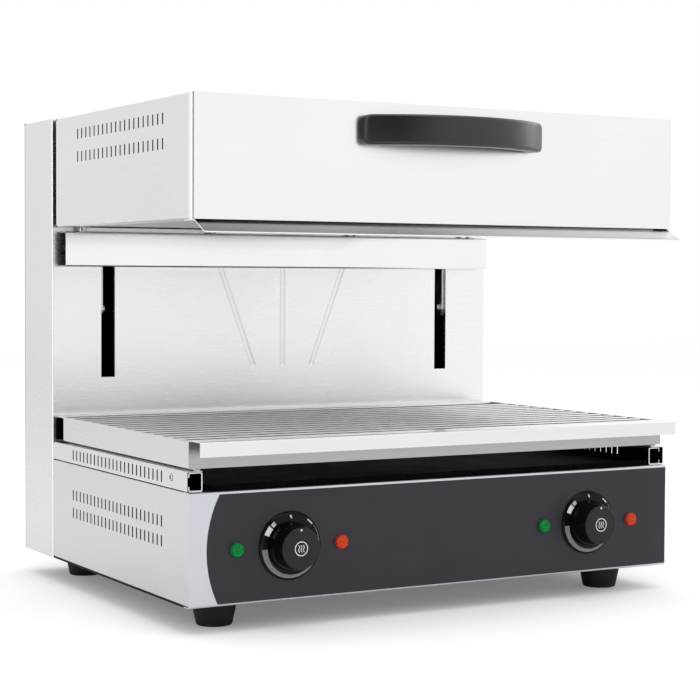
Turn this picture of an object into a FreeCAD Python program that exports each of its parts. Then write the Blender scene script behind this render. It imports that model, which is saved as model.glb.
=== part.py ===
import FreeCAD, Part
import math
import operator
import os

import Sketcher

# Lift grill (salamander): a heated hood that rides up and down a rear column above a rod rack.
# Lengths are millimetres. X runs to the right, Y to the rear and Z up. The feet stand on Z = 0.
# Heights are above the floor and depths run back from the base's front face, unless a note says more.
SIZES = {
    # Sheet metal and clearances shared by all pieces
    "sheet": 1.2,
    "bend": 1.0,
    "flange": 12,
    "overrun": 3,
    "resting_gap": 0.3,
    "running_gap": 0.05,
    "hole_gap": 0.2,
    # Base and column
    "base_width": 600,
    "base_depth": 377,
    "base_height": 115.4,
    "column_overhang": 1,
    "column_edge": 1.1,
    "column_depth": 93.5,
    "column_height": 510.6,
    # Vent slots in the base and the rails, one pitch for all rows
    "vent_width": 3,
    "vent_length": 11.5,
    "vent_pitch": 10.74,
    "vent_first_y": 65.2,
    "vent_rear_margin": 62,
    "vent_low_rise": 54,
    "vent_high_rise": 74.3,
    # Feet and their screws
    "foot_height": 28,
    "foot_top_radius": 24.5,
    "foot_bottom_radius": 18.5,
    "foot_edge": 2,
    "foot_recess_radius": 8,
    "foot_recess_depth": 14,
    "foot_inset": 53,
    "foot_front_y": 53.5,
    "foot_rear_margin": 58,
    "screw_radius": 2.5,
    "screw_head_radius": 5,
    "screw_head_height": 3,
    "foot_screw_length": 22,
    # Controls on the front
    "knob_inset": 112,
    "lamp_offset": 60,
    "control_rise": 56,
    "overlay_thickness": 0.5,
    "overlay_left_margin": 33.7,
    "overlay_left_bow": 122,
    "overlay_left_lean": 2.2,
    "overlay_top_margin": 3,
    "overlay_bottom_margin": 2.4,
    "overlay_side_margin": 1,
    "bushing_radius": 5,
    "shaft_radius": 3,
    "regulator_width": 40,
    "regulator_height": 44,
    "regulator_depth": 35,
    "regulator_bore_depth": 30,
    "dial_radius": 35.2,
    "dial_thickness": 2.8,
    "dial_bevel": 1.4,
    "knob_radius": 25,
    "knob_face_radius": 21.3,
    "knob_skirt": 3,
    "knob_height": 22.5,
    "knob_edge": 1.5,
    "knob_bore_depth": 14,
    "knob_mark_width": 1.6,
    "knob_mark_length": 4,
    "knob_mark_depth": 0.5,
    "lamp_radius": 7.5,
    "lamp_body_radius": 6.5,
    "lamp_body_length": 22,
    "lamp_height": 4.5,
    "lamp_edge": 2.5,
    # Rails between the base and the rack
    "rail_height": 20.6,
    "rail_seam": 0.8,
    "rail_width": 18.4,
    "rail_lip": 5,
    "rail_lip_inset": 3,
    "rail_front": 8,
    "rail_cover_front": 5,
    "rail_flange": 17,
    "rail_vent_rise": 4.6,
    "rail_screw_y": 43,
    "rail_screw_rise": 11.6,
    "case_screw_head": 1,
    "case_screw_radius": 2,
    "case_screw_head_radius": 4,
    # Rack
    "rack_inset": 3,
    "rack_setback": 6.5,
    "rack_height": 29.7,
    "rack_runner": 2,
    "rack_runner_width": 7,
    "rack_floor_width": 6,
    "rack_rear_depth": 24,
    "rack_rear_gap": 0.6,
    "rack_lip_reach": 25.5,
    "rack_lip_drop": 14.1,
    "rod_radius": 3,
    "rod_pitch": 24.55,
    "rod_first_y": 12.2,
    "rod_rear_margin": 36,
    # Crumb tray
    "tray_side_gap": 4.6,
    "tray_end_gap": 3,
    "tray_height": 6,
    "tray_wall": 1,
    "tray_corner": 6,
    # Slots, lift guides and pressed beads in the column
    "slot_inset": 69,
    "slot_width": 17.2,
    "slot_length": 169.2,
    "slot_top_gap": 6.4,
    "slot_return_depth": 6,
    "slot_return_rise": 11,
    "guide_sheet": 1.6,
    "guide_gap": 2,
    "guide_width": 14,
    "guide_run_down": 74,
    "guide_run_up": 14,
    "bead_foot_rise": 11,
    "bead_top_margin": 47.6,
    "bead_spread": 41,
    "bead_lean": 90,
    "bead_radius": 20,
    "bead_depth": 0.35,
    "rear_flange": 12,
    "rear_vent_length": 34,
    "rear_vent_pitch": 12,
    "rear_vent_count": 20,
    "rear_vent_low_drop": 207.6,
    "rear_vent_high_drop": 117.6,
    "rear_screw_inset": 8,
    "rear_screw_length": 8,
    # Hood
    "hood_inset": 0,
    "hood_top_gap": 1.6,
    "hood_height": 123.8,
    "hood_front": 6.5,
    "hood_rear_gap": 9.5,
    "hood_wrap": 8,
    "hood_fold": 1.6,
    "hood_flange": 23.5,
    "hood_front_flange": 24.5,
    "hood_vent_first_y": 62.7,
    "hood_vent_rear_margin": 68,
    "hood_vent_pitch": 12.34,
    "hood_vent_low_drop": 52.5,
    "hood_vent_high_drop": 27,
    "lip_inset": 4.7,
    "lip_reach": 19.2,
    "lip_drop": 12.4,
    "lip_setback": 5,
    "lip_root": 22,
    # Reflector, heaters and insulation in the hood, heights above the hood's bottom edge
    "mouth_side_margin": 36.5,
    "mouth_front": 28,
    "mouth_rear_margin": 29,
    "reflector_slope": 27,
    "reflector_top": 46,
    "reflector_rim": 8,
    "heater_radius": 4,
    "heater_height": 22,
    "heater_pitch": 52,
    "heater_bend": 24,
    "heater_inner_x": 24,
    "heater_side_margin": 21,
    "heater_end_reach": 22,
    "bracket_near_share": 0.375,
    "bracket_far_share": 0.75,
    "bracket_thickness": 1.5,
    "bracket_margin": 14,
    "bracket_drop": 7,
    "insulation_thickness": 44,
    "insulation_inset": 3,
    # Handle
    "handle_half_width": 111.5,
    "handle_top_gap": 13.7,
    "handle_height": 31.2,
    "handle_end_depth": 9.5,
    "handle_depth": 51,
    "handle_foot_width": 20,
    "handle_gap_end": 6,
    "handle_gap_depth": 37.5,
    "handle_corner": 7.5,
    "handle_edge": 3,
    "handle_screw_inset": 10,
    "handle_screw_length": 14,
    # Carrier beam and its bolts
    "beam_inset": 8.6,
    "beam_rear_gap": 3,
    "beam_depth": 15.5,
    "beam_height": 40.4,
    "beam_drop": 5.2,
    "bolt_radius": 3,
    "bolt_head_radius": 4.4,
    "bolt_head_height": 4,
    "bolt_collar_radius": 4.2,
    "bolt_setback": 6.6,
    "bolt_outer_inset": 23.4,
    "bolt_inner_x": 97,
    # Arms, axles and rollers
    "arm_thickness": 3,
    "arm_slot_gap": 0.5,
    "arm_margin": 2.5,
    "arm_tab": 22,
    "roller_radius": 10.9,
    "roller_gap": 0.2,
    "roller_width": 9.6,
    "roller_low_drop": 95,
    "roller_high_drop": 27,
    "axle_radius": 4,
    "axle_head_radius": 6,
    "axle_head_height": 4,
    "axle_collar_length": 3.2,
    # Counterbalance springs
    "spring_radius": 8,
    "spring_wire": 1.6,
    "spring_setback": 48,
    "spring_hook": 8,
    "spring_pin_radius": 3,
    "spring_pin_drop": 29,
    "spring_pin_length": 14,
    "anchor_top_gap": 16.6,
    "anchor_sheet": 2,
    "anchor_width": 16,
    "anchor_leg": 21,
    "anchor_overhang": 7,
    "lug_height": 18,
    "lug_overhang": 6,
    # Terminal block and cable gland
    "block_x": 90,
    "block_setback": 23,
    "block_length": 60,
    "block_depth": 25,
    "block_height": 18,
    "block_hole_radius": 3,
    "block_hole_pitch": 18,
    "block_hole_depth": 12,
    "gland_inset": 101,
    "gland_rise": 42,
    "gland_bore": 4,
    "gland_thread": 8,
    "gland_nut": 12,
    "gland_nut_length": 6,
    "gland_cap": 9,
    "gland_mouth": 6,
    "gland_reach": 16,
    "gland_inside": 11,
}

document = FreeCAD.newDocument("LiftGrill")
sheet = document.addObject("Spreadsheet::Sheet", "Sizes")
for row, (alias, number) in enumerate(SIZES.items(), start=1):
    sheet.set(f"A{row}", alias)
    sheet.set(f"B{row}", str(number))
    sheet.setAlias(f"B{row}", alias)
document.recompute()

SIGNS = {"+": operator.add, "-": operator.sub, "*": operator.mul, "/": operator.truediv}


class Size:
    # A length or a ratio: the sheet expression that drives it and its present value.
    def __init__(self, text, value):
        self.text = text
        self.value = value

    def __add__(self, other):
        return combine(self, "+", other)

    def __radd__(self, other):
        return combine(other, "+", self)

    def __sub__(self, other):
        return combine(self, "-", other)

    def __rsub__(self, other):
        return combine(other, "-", self)

    def __mul__(self, other):
        return combine(self, "*", other)

    def __rmul__(self, other):
        return combine(other, "*", self)

    def __truediv__(self, other):
        return combine(self, "/", other)

    def __neg__(self):
        return combine(0, "-", self)


class Sheet:
    # Gives each alias of the spreadsheet as a Size.
    def __getattr__(self, alias):
        return Size(f"Sizes.{alias}", float(SIZES[alias]))


def asSize(number):
    return number if isinstance(number, Size) else Size(repr(number), number)


def combine(left, sign, right):
    left, right = asSize(left), asSize(right)
    return Size(f"({left.text} {sign} {right.text})", SIGNS[sign](left.value, right.value))


def slopeAngle(run, rise):
    text = f"atan({run.text} / {rise.text})"
    return Size(text, math.degrees(math.atan(run.value / rise.value)))


def countOn(run, pitch):
    # How many copies a pitch apart stand on a run.
    text = f"(floor({run.text} / {pitch.text}) + 1)"
    return Size(text, math.floor(run.value / pitch.value) + 1)


s = Sheet()
ZERO = asSize(0)

# Places that several pieces share
baseHalf = s.base_width / 2
columnHalf = baseHalf + s.column_overhang
columnInner = columnHalf - s.sheet
floorTop = s.foot_height + s.sheet
baseTop = s.foot_height + s.base_height
columnTop = s.foot_height + s.column_height
columnFront = s.base_depth + s.sheet
columnRear = s.base_depth + s.column_depth
railTop = baseTop + s.rail_height
railWeb = baseHalf - s.rail_width
rackBottom = railTop + s.resting_gap
footX = baseHalf - s.foot_inset
knobX = baseHalf - s.knob_inset
controlZ = s.foot_height + s.control_rise
rackHalf = baseHalf - s.rack_inset
rackSideLength = s.base_depth - s.rack_rear_gap - s.rack_rear_depth - s.rack_setback
hoodHalf = baseHalf - s.hood_inset
hoodRear = s.base_depth - s.hood_rear_gap
hoodBottom = columnTop - s.hood_top_gap - s.hood_height
mouthHalf = hoodHalf - s.mouth_side_margin
mouthRear = hoodRear - s.mouth_rear_margin
handleLow = s.hood_height - s.handle_top_gap - s.handle_height
handleScrewX = s.handle_half_width - s.handle_screw_inset
beamHalf = hoodHalf - s.beam_inset
beamFront = s.base_depth - s.beam_rear_gap - s.beam_depth
glandX = s.gland_inset - columnHalf
glandZ = s.foot_height + s.gland_rise
slotX = columnHalf - s.slot_inset
slotTop = hoodBottom - s.slot_top_gap
slotBottom = slotTop - s.slot_length
springY = s.base_depth + s.spring_setback
springPinZ = hoodBottom - s.spring_pin_drop
armOuter = slotX + s.slot_width / 2 - s.arm_slot_gap
armInner = armOuter - s.arm_thickness
rollerY = columnFront + s.guide_sheet + s.roller_gap + s.roller_radius
handleReach = s.hood_front + s.handle_depth
frontY = handleReach - (handleReach + columnRear + s.gland_reach) / 2

# The frame that each group of pieces is drawn in
CABINET = (ZERO, frontY, ZERO)
HOOD = (ZERO, frontY, hoodBottom)
RACK = (ZERO, frontY + s.rack_setback, rackBottom)

pieces = {}


def moveTo(item, place):
    for axis, size in zip("xyz", place):
        item.setExpression("Placement.Base." + axis, asSize(size).text)


def keep(item, name, group):
    # Names a finished sub-part and stands it in its group's frame.
    item.Label = name
    moveTo(item, group)
    pieces[name] = item


def join(name, items, group):
    # Several separate solids kept as one sub-part, such as a set of equal screws.
    compound = document.addObject("Part::Compound", name)
    compound.Links = items
    keep(compound, name, group)


def originItem(body, role):
    return next(item for item in body.Origin.OriginFeatures if item.Role == role)


def offsetFor(role, span, fromHigh):
    # The XZ plane faces the front, so its offsets run against Y.
    low, high = (asSize(end) for end in span)
    if role == "XZ_Plane":
        return -low if fromHigh else -high
    return high if fromHigh else low


def bindPoint(sketch, geometry, end, x, y):
    for kind, size in (("DistanceX", x), ("DistanceY", y)):
        index = sketch.addConstraint(Sketcher.Constraint(kind, -1, 1, geometry, end, size.value))
        sketch.setExpression(f"Constraints[{index}]", size.text)


def bindRadius(sketch, geometry, radius):
    index = sketch.addConstraint(Sketcher.Constraint("Radius", geometry, radius.value))
    sketch.setExpression(f"Constraints[{index}]", radius.text)


def drawCircle(sketch, x, y, radius):
    x, y = asSize(x), asSize(y)
    centre = FreeCAD.Vector(x.value, y.value, 0)
    circle = sketch.addGeometry(Part.Circle(centre, FreeCAD.Vector(0, 0, 1), radius.value))
    bindPoint(sketch, circle, 3, x, y)
    bindRadius(sketch, circle, radius)


def roundedEnds(before, corner, after, radius):
    # Where a round of this radius leaves the line in and joins the line out, and its centre.
    toBefore = (before - corner).normalize()
    toAfter = (after - corner).normalize()
    half = toBefore.getAngle(toAfter) / 2
    reach = radius / math.tan(half)
    centre = corner + (toBefore + toAfter).normalize() * (radius / math.sin(half))
    return corner + toBefore * reach, corner + toAfter * reach, centre


def arcBetween(centre, start, finish, counterClockwise):
    circle = Part.Circle(centre, FreeCAD.Vector(0, 0, 1), (start - centre).Length)
    if not counterClockwise:
        start, finish = finish, start
    angles = [math.atan2(end.y - centre.y, end.x - centre.x) for end in (start, finish)]
    return Part.ArcOfCircle(circle, angles[0], angles[1])


def drawOutline(sketch, corners, closed=True):
    # A corner is (x, y), or (x, y, round). A fourth value is the radius of the bowed edge that
    # leaves the corner, positive where the bow turns left and negative where it turns right.
    corners = [tuple(asSize(value) for value in corner) for corner in corners]
    points = [FreeCAD.Vector(corner[0].value, corner[1].value, 0) for corner in corners]
    count = len(corners)
    ends = []
    for i, corner in enumerate(corners):
        inner = closed or 0 < i < count - 1
        if inner and len(corner) == 3 and corner[2].value > 0:
            before, after = points[i - 1], points[(i + 1) % count]
            ends.append(roundedEnds(before, points[i], after, corner[2].value))
        else:
            ends.append((points[i], points[i], None))
    edges = []
    for i in range(count if closed else count - 1):
        start, finish = ends[i][1], ends[(i + 1) % count][0]
        if len(corners[i]) == 4:
            edges.append((drawBow(sketch, start, finish, corners[i][3]), corners[i][3].value < 0))
        else:
            edges.append((sketch.addGeometry(Part.LineSegment(start, finish)), False))
    for i in range(count):
        x, y = corners[i][0], corners[i][1]
        if not closed and i in (0, count - 1):
            edge, end = (edges[0][0], 1) if i == 0 else (edges[-1][0], 2)
            bindPoint(sketch, edge, end, x, y)
            continue
        (inEdge, inFlipped), (outEdge, outFlipped) = edges[i - 1], edges[i]
        inEnd, outEnd = (1 if inFlipped else 2), (2 if outFlipped else 1)
        if ends[i][2] is None:
            sketch.addConstraint(Sketcher.Constraint("Coincident", inEdge, inEnd, outEdge, outEnd))
            bindPoint(sketch, outEdge, outEnd, x, y)
            continue
        before, after = points[i - 1], points[(i + 1) % count]
        turnsLeft = (points[i] - before).cross(after - points[i]).z > 0
        arc = sketch.addGeometry(arcBetween(ends[i][2], ends[i][0], ends[i][1], turnsLeft))
        arcIn, arcOut = (1, 2) if turnsLeft else (2, 1)
        sketch.addConstraint(Sketcher.Constraint("Tangent", inEdge, inEnd, arc, arcIn))
        sketch.addConstraint(Sketcher.Constraint("Tangent", arc, arcOut, outEdge, outEnd))
        bindRadius(sketch, arc, corners[i][2])
        mark = sketch.addGeometry(Part.Point(points[i]), True)
        bindPoint(sketch, mark, 1, x, y)
        sketch.addConstraint(Sketcher.Constraint("PointOnObject", mark, 1, inEdge))
        sketch.addConstraint(Sketcher.Constraint("PointOnObject", mark, 1, outEdge))


def drawBow(sketch, start, finish, radius):
    middle = (start + finish) * 0.5
    along = (finish - start).normalize()
    left = FreeCAD.Vector(-along.y, along.x, 0)
    half = (finish - start).Length / 2
    reach = math.sqrt(radius.value ** 2 - half ** 2)
    centre = middle + left * math.copysign(reach, radius.value)
    arc = sketch.addGeometry(arcBetween(centre, start, finish, radius.value > 0))
    bindRadius(sketch, arc, radius if radius.value > 0 else -radius)
    return arc


def rectangle(xSpan, ySpan, corner=0):
    (left, right), (low, high) = xSpan, ySpan
    return [(left, low, corner), (right, low, corner), (right, high, corner), (left, high, corner)]


def addSketch(body, role, offset, loops, closed=True):
    sketch = body.newObject("Sketcher::SketchObject", "Sketch")
    sketch.AttachmentSupport = [(originItem(body, role), "")]
    sketch.MapMode = "FlatFace"
    sketch.setExpression("AttachmentOffset.Base.z", asSize(offset).text)
    for loop in loops:
        if isinstance(loop, tuple):
            drawCircle(sketch, *loop)
        else:
            drawOutline(sketch, loop, closed)
    return sketch


def newBody(name):
    body = document.addObject("PartDesign::Body", name)
    body.Label = name
    return body


def addPad(body, role, span, loops):
    # Outlines are lists of corners and round holes are (x, y, radius).
    sketch = addSketch(body, role, offsetFor(role, span, False), loops)
    pad = body.newObject("PartDesign::Pad", "Pad")
    pad.Profile = sketch
    pad.setExpression("Length", (asSize(span[1]) - span[0]).text)
    body.Tip = pad
    return pad


def addPocket(body, role, span, loops):
    sketch = addSketch(body, role, offsetFor(role, span, True), loops)
    pocket = body.newObject("PartDesign::Pocket", "Pocket")
    pocket.Profile = sketch
    pocket.setExpression("Length", (asSize(span[1]) - span[0]).text)
    body.Tip = pocket
    return pocket


def repeatAlong(body, feature, axis, pitch, count):
    pattern = body.newObject("PartDesign::LinearPattern", "Pattern")
    pattern.Originals = [feature]
    pattern.Direction = (feature.Profile[0], [axis])
    pattern.setExpression("Length", (pitch * (count - 1)).text)
    pattern.setExpression("Occurrences", count.text)
    body.Tip = pattern
    return pattern


def plate(name, role, span, loops):
    body = newBody(name)
    addPad(body, role, span, loops)
    return body


def foldedOutline(path, thickness, bend, turn):
    # The section of a folded sheet along a path of level and upright runs. The sheet lies on the
    # path's left where turn is 1 and on its right where it is -1.
    path = [(asSize(x), asSize(y)) for x, y in path]
    points = [FreeCAD.Vector(x.value, y.value, 0) for x, y in path]
    runs = [(b - a).normalize() for a, b in zip(points, points[1:])]
    normals = [FreeCAD.Vector(-run.y, run.x, 0) * turn for run in runs]
    faces, backs = [], []
    for i, (x, y) in enumerate(path):
        around = normals[max(i - 1, 0):i + 1]
        shift = [sum(normal[k] for normal in around) for k in (0, 1)]
        faceRound = backRound = 0
        if len(around) == 2:
            inside = runs[i - 1].cross(runs[i]).z * turn > 0
            faceRound = bend + thickness if inside else bend
            backRound = bend if inside else bend + thickness
        faces.append((x, y, faceRound))
        backs.append((x + thickness * round(shift[0]), y + thickness * round(shift[1]), backRound))
    return faces + backs[::-1]


def folded(name, role, span, path, turn, thickness=s.sheet, bend=s.bend):
    return plate(name, role, span, [foldedOutline(path, thickness, bend, turn)])


ROTATIONS = {
    "up": FreeCAD.Rotation(),
    "front": FreeCAD.Rotation(FreeCAD.Vector(1, 0, 0), 90),
    "rear": FreeCAD.Rotation(FreeCAD.Vector(1, 0, 0), -90),
    "right": FreeCAD.Rotation(FreeCAD.Vector(0, 1, 0), 90),
    "left": FreeCAD.Rotation(FreeCAD.Vector(0, 1, 0), -90),
}


def turned(name, profile, place=None, facing="up"):
    # A turned piece: the profile's corners are (radius, height), with a round where one is given.
    body = newBody(name)
    sketch = addSketch(body, "XZ_Plane", ZERO, [profile])
    revolution = body.newObject("PartDesign::Revolution", "Revolution")
    revolution.Profile = sketch
    revolution.ReferenceAxis = (sketch, ["V_Axis"])
    body.Tip = revolution
    body.Placement.Rotation = ROTATIONS[facing]
    if place:
        moveTo(body, place)
    return body


def screw(name, place, facing, length, radius=s.screw_radius, headRadius=s.screw_head_radius,
          headHeight=s.screw_head_height):
    # The head stands on the given place and faces the given way; the shank runs back from it.
    profile = [(ZERO, -length), (radius, -length), (radius, ZERO), (headRadius, ZERO),
               (headRadius, headHeight, headHeight / 2), (ZERO, headHeight)]
    return turned(name, profile, place, facing)


def sides():
    return (("left", -1), ("right", 1))


def spanX(side, inner, outer):
    # The X span of a piece on one side, low end first.
    return (inner, outer) if side > 0 else (-outer, -inner)


def makeFeet():
    footRear = columnRear - s.foot_rear_margin
    places = [(x, y) for x in (-footX, footX) for y in (s.foot_front_y, footRear)]
    hole = s.screw_radius + s.hole_gap
    recess = s.foot_recess_depth
    profile = [(hole, s.foot_height), (hole, recess), (s.foot_recess_radius, recess),
               (s.foot_recess_radius, ZERO), (s.foot_bottom_radius, ZERO, s.foot_edge),
               (s.foot_top_radius, s.foot_height)]
    feet = [turned("foot", profile, (x, y, ZERO)) for x, y in places]
    join("rubber_feet", feet, CABINET)
    nutTop = floorTop - recess + s.bolt_head_height
    fastener = [(ZERO, -s.screw_head_height), (s.foot_recess_radius - s.hole_gap, -s.screw_head_height),
                (s.foot_recess_radius - s.hole_gap, ZERO), (s.screw_radius, ZERO),
                (s.screw_radius, floorTop - recess), (s.screw_head_radius, floorTop - recess),
                (s.screw_head_radius, nutTop), (s.screw_radius, nutTop),
                (s.screw_radius, s.foot_screw_length), (ZERO, s.foot_screw_length)]
    screws = [turned("foot_screw", fastener, (x, y, recess)) for x, y in places]
    join("foot_screws", screws, CABINET)
    return [(x, y, hole) for x, y in places]


def makeBase(footHoles):
    inner = columnInner
    outline = [(-baseHalf, s.flange), (baseHalf, s.flange), (baseHalf, s.base_depth),
               (inner, s.base_depth), (inner, columnRear - s.sheet), (-inner, columnRear - s.sheet),
               (-inner, s.base_depth), (-baseHalf, s.base_depth)]
    bottom = plate("bottom_plate", "XY_Plane", (s.foot_height, floorTop), [outline] + footHoles)
    keep(bottom, "bottom_plate", CABINET)
    deckHalf = baseHalf - s.flange
    deck = rectangle((-deckHalf, deckHalf), (s.flange, s.base_depth))
    keep(plate("deck_plate", "XY_Plane", (baseTop - s.sheet, baseTop), [deck]), "deck_plate", CABINET)
    for label, side in sides():
        name = label + "_base_side"
        low, high = floorTop, baseTop
        path = [(side * (baseHalf - s.flange), low), (side * baseHalf, low),
                (side * baseHalf, high), (side * (baseHalf - s.flange), high)]
        panel = folded(name, "XZ_Plane", (s.sheet, s.base_depth), path, side)
        relief = s.sheet + s.bend + s.hole_gap
        corners = [rectangle((s.sheet, relief), (low, low + s.sheet)),
                   [(s.sheet, high - relief), (relief, high - relief), (relief, high - s.sheet),
                    (s.flange, high - s.sheet), (s.flange, high), (s.sheet, high)]]
        wall = spanX(side, baseHalf - s.flange - s.overrun, baseHalf + s.overrun)
        addPocket(panel, "YZ_Plane", wall, corners)
        rises = (s.vent_low_rise, s.vent_high_rise)
        rows = [ventOutline(s.vent_first_y, s.foot_height + rise) for rise in rises]
        cutVents(panel, side, rows)
        keep(panel, name, CABINET)


def ventOutline(y, low):
    return rectangle((y, y + s.vent_width), (low, low + s.vent_length))


def cutVents(body, side, rows):
    # Rows of slots through a side wall, as many as fit between the front and the rear margin.
    span = spanX(side, railWeb - s.overrun, baseHalf + s.overrun)
    pocket = addPocket(body, "YZ_Plane", span, rows)
    run = s.base_depth - s.vent_first_y - s.vent_rear_margin
    repeatAlong(body, pocket, "H_Axis", s.vent_pitch, countOn(run, s.vent_pitch))


def controlHoles():
    bushing = s.bushing_radius + s.hole_gap
    lamp = s.lamp_body_radius + s.hole_gap
    holes = []
    for x in (-knobX, knobX):
        holes.append((x, controlZ, bushing))
        holes += [(x + step, controlZ, lamp) for step in (-s.lamp_offset, s.lamp_offset)]
    return holes


def makeFront():
    path = [(s.flange, s.foot_height), (ZERO, s.foot_height), (ZERO, baseTop), (s.flange, baseTop)]
    panel = folded("base_front_panel", "YZ_Plane", (-baseHalf, baseHalf), path, -1)
    addPocket(panel, "XZ_Plane", (-s.overrun, s.sheet + s.overrun), controlHoles())
    keep(panel, "base_front_panel", CABINET)
    low, high = s.foot_height + s.overlay_bottom_margin, baseTop - s.overlay_top_margin
    left, right = s.overlay_left_margin - baseHalf, baseHalf - s.overlay_side_margin
    outline = [(left - s.overlay_left_lean, low), (right, low), (right, high),
               (left, high, 0, s.overlay_left_bow)]
    overlay = plate("control_overlay", "XZ_Plane", (-s.overlay_thickness, ZERO),
                    [outline] + controlHoles())
    keep(overlay, "control_overlay", CABINET)


def makeControls():
    for label, side in sides():
        group = (side * knobX, frontY, controlZ)
        makeRegulator(label, group)
        face = s.overlay_thickness + s.dial_thickness
        hole = s.bushing_radius + s.hole_gap
        dial = [(hole, s.overlay_thickness), (s.dial_radius, s.overlay_thickness),
                (s.dial_radius, face - s.dial_bevel), (s.dial_radius - s.dial_bevel, face), (hole, face)]
        keep(turned(label + "_dial", dial, None, "front"), label + "_dial", group)
        low = face + s.resting_gap
        top = low + s.knob_height
        bore = low + s.knob_bore_depth
        knob = [(s.shaft_radius, bore), (s.shaft_radius, low), (s.knob_radius, low),
                (s.knob_radius, low + s.knob_skirt), (s.knob_face_radius, top, s.knob_edge),
                (ZERO, top), (ZERO, bore)]
        body = turned(label + "_knob", knob, None, "front")
        half = s.knob_mark_width / 2
        outer = s.knob_face_radius - s.knob_edge
        mark = rectangle((-half, half), (outer - s.knob_mark_length, outer))
        addPocket(body, "XY_Plane", (top - s.knob_mark_depth, top + s.overrun), [mark])
        keep(body, label + "_knob", group)
        tail = -s.regulator_bore_depth
        shaft = rectangle((ZERO, s.shaft_radius), (tail, bore))
        keep(turned(label + "_shaft", shaft, None, "front"), label + "_shaft", group)
    for label, step in (("green_lamps", -s.lamp_offset), ("orange_lamps", s.lamp_offset)):
        lamps = [turned("lamp", lampProfile(), (x + step, ZERO, controlZ), "front")
                 for x in (-knobX, knobX)]
        join(label, lamps, CABINET)


def makeRegulator(label, group):
    name = label + "_regulator"
    halfX, halfZ = s.regulator_width / 2, s.regulator_height / 2
    rear = s.sheet + s.regulator_depth
    body = plate(name, "XZ_Plane", (s.sheet, rear), [rectangle((-halfX, halfX), (-halfZ, halfZ))])
    addPad(body, "XZ_Plane", (-s.overlay_thickness, s.sheet), [(ZERO, ZERO, s.bushing_radius)])
    bore = s.shaft_radius + s.running_gap
    depth = s.regulator_bore_depth + s.resting_gap
    addPocket(body, "XZ_Plane", (-s.overlay_thickness - s.overrun, depth), [(ZERO, ZERO, bore)])
    keep(body, name, group)


def lampProfile():
    base, top = s.overlay_thickness, s.overlay_thickness + s.lamp_height
    return [(ZERO, -s.lamp_body_length), (s.lamp_body_radius, -s.lamp_body_length),
            (s.lamp_body_radius, base), (s.lamp_radius, base), (s.lamp_radius, top, s.lamp_edge),
            (ZERO, top)]


def makeRails():
    screws = []
    for label, side in sides():
        low = baseTop + s.rail_seam
        path = [(side * baseHalf, low), (side * baseHalf, railTop),
                (side * (baseHalf - s.rail_flange), railTop)]
        span = (s.rail_cover_front, s.base_depth)
        cover = folded(label + "_rail_cover", "XZ_Plane", span, path, side)
        row = ventOutline(s.vent_first_y, baseTop + s.rail_vent_rise)
        cutVents(cover, side, [row])
        screwZ = baseTop + s.rail_screw_rise
        hole = s.case_screw_radius + s.hole_gap
        addPocket(cover, "YZ_Plane", spanX(side, baseHalf - s.overrun, baseHalf + s.overrun),
                  [(s.rail_screw_y, screwZ, hole)])
        keep(cover, label + "_rail_cover", CABINET)
        top = railTop - s.sheet
        open_ = baseHalf - s.rail_lip_inset
        path = [(side * open_, baseTop + s.rail_lip), (side * open_, baseTop), (side * railWeb, baseTop),
                (side * railWeb, top), (side * open_, top), (side * open_, top - s.rail_lip)]
        span = (s.rail_front, s.base_depth)
        channel = folded(label + "_rail_channel", "XZ_Plane", span, path, -side)
        cutVents(channel, side, [row])
        keep(channel, label + "_rail_channel", CABINET)
        length = s.rail_width - s.sheet - s.resting_gap
        screws.append(screw("case_screw", (side * baseHalf, s.rail_screw_y, screwZ), label, length,
                            s.case_screw_radius, s.case_screw_head_radius, s.case_screw_head))
    join("rail_screws", screws, CABINET)


def makeColumn():
    makeColumnFront()
    path = [(-columnHalf, s.foot_height), (-columnHalf, columnTop), (columnHalf, columnTop),
            (columnHalf, s.foot_height)]
    rear = columnRear - s.sheet
    shell = folded("column_shell", "XZ_Plane", (s.base_depth, rear), path, -1)
    heights = (floorTop, columnTop - s.sheet)
    flanges = [rectangle(spanX(side, columnInner - s.rear_flange, columnInner), heights)
               for _, side in sides()]
    addPad(shell, "XZ_Plane", (rear - s.sheet, rear), flanges)
    addFillet(shell, s.column_edge, onColumnEdge)
    screwPlaces = rearScrewPlaces()
    hole = s.case_screw_radius + s.hole_gap
    holes = [(x, z, hole) for x, z in screwPlaces]
    addPocket(shell, "XZ_Plane", (rear - s.sheet - s.overrun, rear + s.overrun), holes)
    keep(shell, "column_shell", CABINET)
    outline = rectangle((-columnHalf, columnHalf), (s.foot_height, columnTop))
    glandHole = (glandX, glandZ, s.gland_thread + s.hole_gap)
    cover = plate("column_rear_cover", "XZ_Plane", (rear, columnRear), [outline, glandHole] + holes)
    first = -s.rear_vent_pitch * (s.rear_vent_count - 1) / 2 - s.vent_width / 2
    rows = [rectangle((first, first + s.vent_width), (low, low + s.rear_vent_length))
            for low in (columnTop - s.rear_vent_low_drop, columnTop - s.rear_vent_high_drop)]
    vents = addPocket(cover, "XZ_Plane", (rear - s.overrun, columnRear + s.overrun), rows)
    repeatAlong(cover, vents, "H_Axis", s.rear_vent_pitch, s.rear_vent_count)
    keep(cover, "column_rear_cover", CABINET)
    screws = [screw("case_screw", (x, columnRear, z), "rear", s.rear_screw_length, s.case_screw_radius,
                    s.case_screw_head_radius, s.case_screw_head) for x, z in screwPlaces]
    join("rear_cover_screws", screws, CABINET)


def onColumnEdge(edge):
    # The shell's long outer edges at the front, up both sides and over the top.
    box = edge.BoundBox
    outer = (columnHalf - s.column_edge / 2).value
    outside = max(box.XMax, -box.XMin) > outer or box.ZMax > (columnTop - s.column_edge / 2).value
    atFront = box.YMax < (s.base_depth + s.column_edge / 2).value
    return outside and atFront and edge.Length > (s.sheet + s.bend).value


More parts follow.
